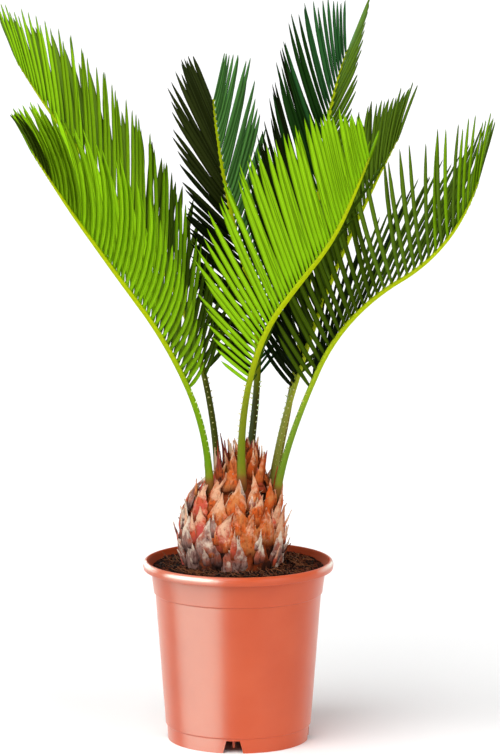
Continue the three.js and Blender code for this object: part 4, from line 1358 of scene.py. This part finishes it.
def build_fronds(context):
    foliage = context.scene.sago_foliage
    made = {}
    for frond in grow_fronds():
        name, looks, skin = frond["name"], [], Skin()
        for line in frond["leaflets"]:
            slots = leaflet_slots(line, frond["rows"][line["side"]]["tints"], looks)
            skin.add(blade(line, foliage.thickness / MM), slots)
        for look in looks:
            if look not in made:
                made[look] = waxy_leaflet(foliage, *look)
        leaflets = skin.piece(name + "_leaflets", [made[look] for look in looks], 50)
        settle(leaflets, frond["slot"], name)
        finish = waxy_rachis(name.replace("frond", "waxy_rachis"), foliage, linear(frond["stalk"]))
        settle(Skin(rachis_skin(frond)).piece(name + "_rachis", [finish], 60), frond["slot"], name)


SPINES = {"pairs": 13, "first": 16, "less": 14, "radius": 0.75}  # less: petiole without spines


def build_spines(context):
    """Two rows of short pale spines on each petiole."""
    points = []
    for frond in rachises():
        i = frond["index"]
        for side in (1, -1):
            for k in range(SPINES["pairs"]):
                v = (k + 0.5 + 0.2 * wobble(i * 50 + k + side)) / SPINES["pairs"]
                s = SPINES["first"] + (frond["petiole"] - SPINES["less"]) * v
                t, n, b = rachis_frame(frond, s)
                r = STALK["slim"] * rachis_radius(frond, s)
                place = rachis_point(frond, s) + b * side * r * 0.9 + n * r * 0.2
                length = 0.55 + 0.45 * k / (SPINES["pairs"] - 1)
                length *= 1 + 0.25 * wobble(i * 31 + k * 3 + side)
                points.append((place, unit(b * side + n * 0.5 + t * 0.35), length))
    finish, tree, shader = finish_material("horny_spine", linear("#c9bf57"), roughness=0.45)
    grain(tree, shader, 0.8, 0.05, stops=[(0.3, linear("#a09a3c")), (0.7, linear("#e0d684"))])
    values = {"Length": context.scene.sago_foliage.spine, "Radius": SPINES["radius"] * MM, "Material": finish}
    run_nodes(point_object("petiole_spines", points), spine_tree(), 50, "frond_green", **values)


# --------------------------------------------------------------------- stage

FLOOR_REACH = 60000  # from the middle of the paper to its edges, mm
CAMERA = {"shift": 9.3, "sensor_width": 36.0, "clip": (0.1, 200.0)}  # shift: right of the middle, mm
# Softboxes: bearing, height and spread in degrees, and the setting of their strength.
SOFTBOXES = {
    "key_softbox": (-38, 54, 52, "key"),
    "fill_softbox": (48, 25, 40, "fill"),
    "side_softbox": (-64, 9, 34, "side"),
}
# Gloss panels, which show only where a smooth surface mirrors them: bearing and spread in degrees,
# and share of the panel strength.
PANELS = {"left_panel": (-60, 74, 1.0), "back_left_panel": (-142, 50, 0.1), "right_panel": (140, 50, 0.05)}
PANEL_HEIGHT = 4
PANEL_TINT = "#bcfff8"


def soft_light(name, bearing, height, spread, strength):
    """A distant softbox from a bearing and height, as wide as its spread, all in degrees."""
    data = bpy.data.lights.new(name, "SUN")
    data.energy, data.angle = strength, math.radians(spread)
    made = link(name, data)
    made.rotation_euler = (math.radians(90 - height), 0, math.radians(bearing))
    return made


def white_paper(stage):
    """Plain matt paper, with no gloss that would mirror the panels."""
    base = tuple(stage.paper)
    made, tree, shader = finish_material("white_paper", base, roughness=0.9, specular_ior_level=0.0)
    grain(tree, shader, 2.0, 0.05)
    return made


def build_stage(context):
    scene, stage = context.scene, context.scene.sago_stage
    mesh = bpy.data.meshes.new("paper_floor")
    reach = FLOOR_REACH * MM
    corners = [(-reach, -reach, 0), (reach, -reach, 0), (reach, reach, 0), (-reach, reach, 0)]
    mesh.from_pydata(corners, [], [(0, 1, 2, 3)])
    mesh.materials.append(white_paper(stage))
    link("paper_floor", mesh)

    scene.world = bpy.data.worlds.new("white_surround")
    scene.world.use_nodes = True
    ground = scene.world.node_tree.nodes["Background"]
    ground.inputs["Color"].default_value = (1, 1, 1, 1)
    ground.inputs["Strength"].default_value = stage.sky
    for name, (bearing, height, spread, strength) in SOFTBOXES.items():
        soft_light(name, bearing, height, spread, getattr(stage, strength))
    for name, (bearing, spread, share) in PANELS.items():
        panel = soft_light(name, bearing, PANEL_HEIGHT, spread, share * stage.panel)
        panel.visible_diffuse = False
        panel.data.color = linear(PANEL_TINT)

    data = bpy.data.cameras.new("camera")
    data.lens, data.sensor_width = stage.lens, CAMERA["sensor_width"]
    data.clip_start, data.clip_end = CAMERA["clip"]
    scene.camera = link("camera", data)
    scene.camera.location = (CAMERA["shift"] * MM, -stage.distance, stage.eye)
    scene.camera.rotation_euler = (math.radians(90 - stage.pitch), 0, 0)
    scene.view_settings.view_transform = "Standard"


# ------------------------------------------------------------------- add-on


class SAGO_OT_nursery_pot(bpy.types.Operator):
    """Turns the moulded pot, with its rolled rim, notched foot and drain holes"""

    bl_idname = "sago.nursery_pot"
    bl_label = "Nursery Pot"

    def execute(self, context):
        build_pot(context)
        return {"FINISHED"}


class SAGO_OT_potting_mix(bpy.types.Operator):
    """Fills the pot with peat, and strews crumbs, bark chips and coir over it"""

    bl_idname = "sago.potting_mix"
    bl_label = "Potting Mix"

    def execute(self, context):
        build_soil(context)
        return {"FINISHED"}


class SAGO_OT_caudex(bpy.types.Operator):
    """Builds the trunk from its dead leaf bases, the bracts of its crown and loose fibres"""

    bl_idname = "sago.caudex"
    bl_label = "Caudex"

    def execute(self, context):
        build_caudex(context)
        return {"FINISHED"}


class SAGO_OT_fronds(bpy.types.Operator):
    """Grows the fronds, each a rachis with two rows of leaflets"""

    bl_idname = "sago.fronds"
    bl_label = "Fronds"

    def execute(self, context):
        build_fronds(context)
        return {"FINISHED"}


class SAGO_OT_petiole_spines(bpy.types.Operator):
    """Sets the short spines along the petioles"""

    bl_idname = "sago.petiole_spines"
    bl_label = "Petiole Spines"

    def execute(self, context):
        build_spines(context)
        return {"FINISHED"}


class SAGO_OT_stage(bpy.types.Operator):
    """Sets up the paper floor, white surround, soft lights and camera"""

    bl_idname = "sago.stage"
    bl_label = "Stage"

    def execute(self, context):
        build_stage(context)
        return {"FINISHED"}


OPERATORS = (
    SAGO_OT_nursery_pot,
    SAGO_OT_potting_mix,
    SAGO_OT_caudex,
    SAGO_OT_fronds,
    SAGO_OT_petiole_spines,
    SAGO_OT_stage,
)
SETTINGS = {
    "sago_pot": PotSettings,
    "sago_soil": SoilSettings,
    "sago_caudex": CaudexSettings,
    "sago_foliage": FoliageSettings,
    "sago_stage": StageSettings,
}


class SAGO_PT_palm(bpy.types.Panel):
    """Lists the pieces of the palm and their settings"""

    bl_idname = "SAGO_PT_palm"
    bl_label = "Sago Palm"
    bl_space_type = "VIEW_3D"
    bl_region_type = "UI"
    bl_category = "Sago Palm"

    def draw(self, context):
        for operator in OPERATORS:
            self.layout.operator(operator.bl_idname)
        for name, kind in SETTINGS.items():
            column = self.layout.column()
            for label in kind.__annotations__:
                column.prop(getattr(context.scene, name), label)


def register():
    for kind in (*SETTINGS.values(), *OPERATORS, SAGO_PT_palm):
        bpy.utils.register_class(kind)
    for name, kind in SETTINGS.items():
        setattr(bpy.types.Scene, name, PointerProperty(type=kind))


def unregister():
    for name in SETTINGS:
        delattr(bpy.types.Scene, name)
    for kind in reversed((*SETTINGS.values(), *OPERATORS, SAGO_PT_palm)):
        bpy.utils.unregister_class(kind)


def main():
    register()
    bpy.ops.sago.nursery_pot()
    bpy.ops.sago.potting_mix()
    bpy.ops.sago.caudex()
    bpy.ops.sago.fronds()
    bpy.ops.sago.petiole_spines()
    bpy.ops.sago.stage()


if __name__ == "__main__":
    main()
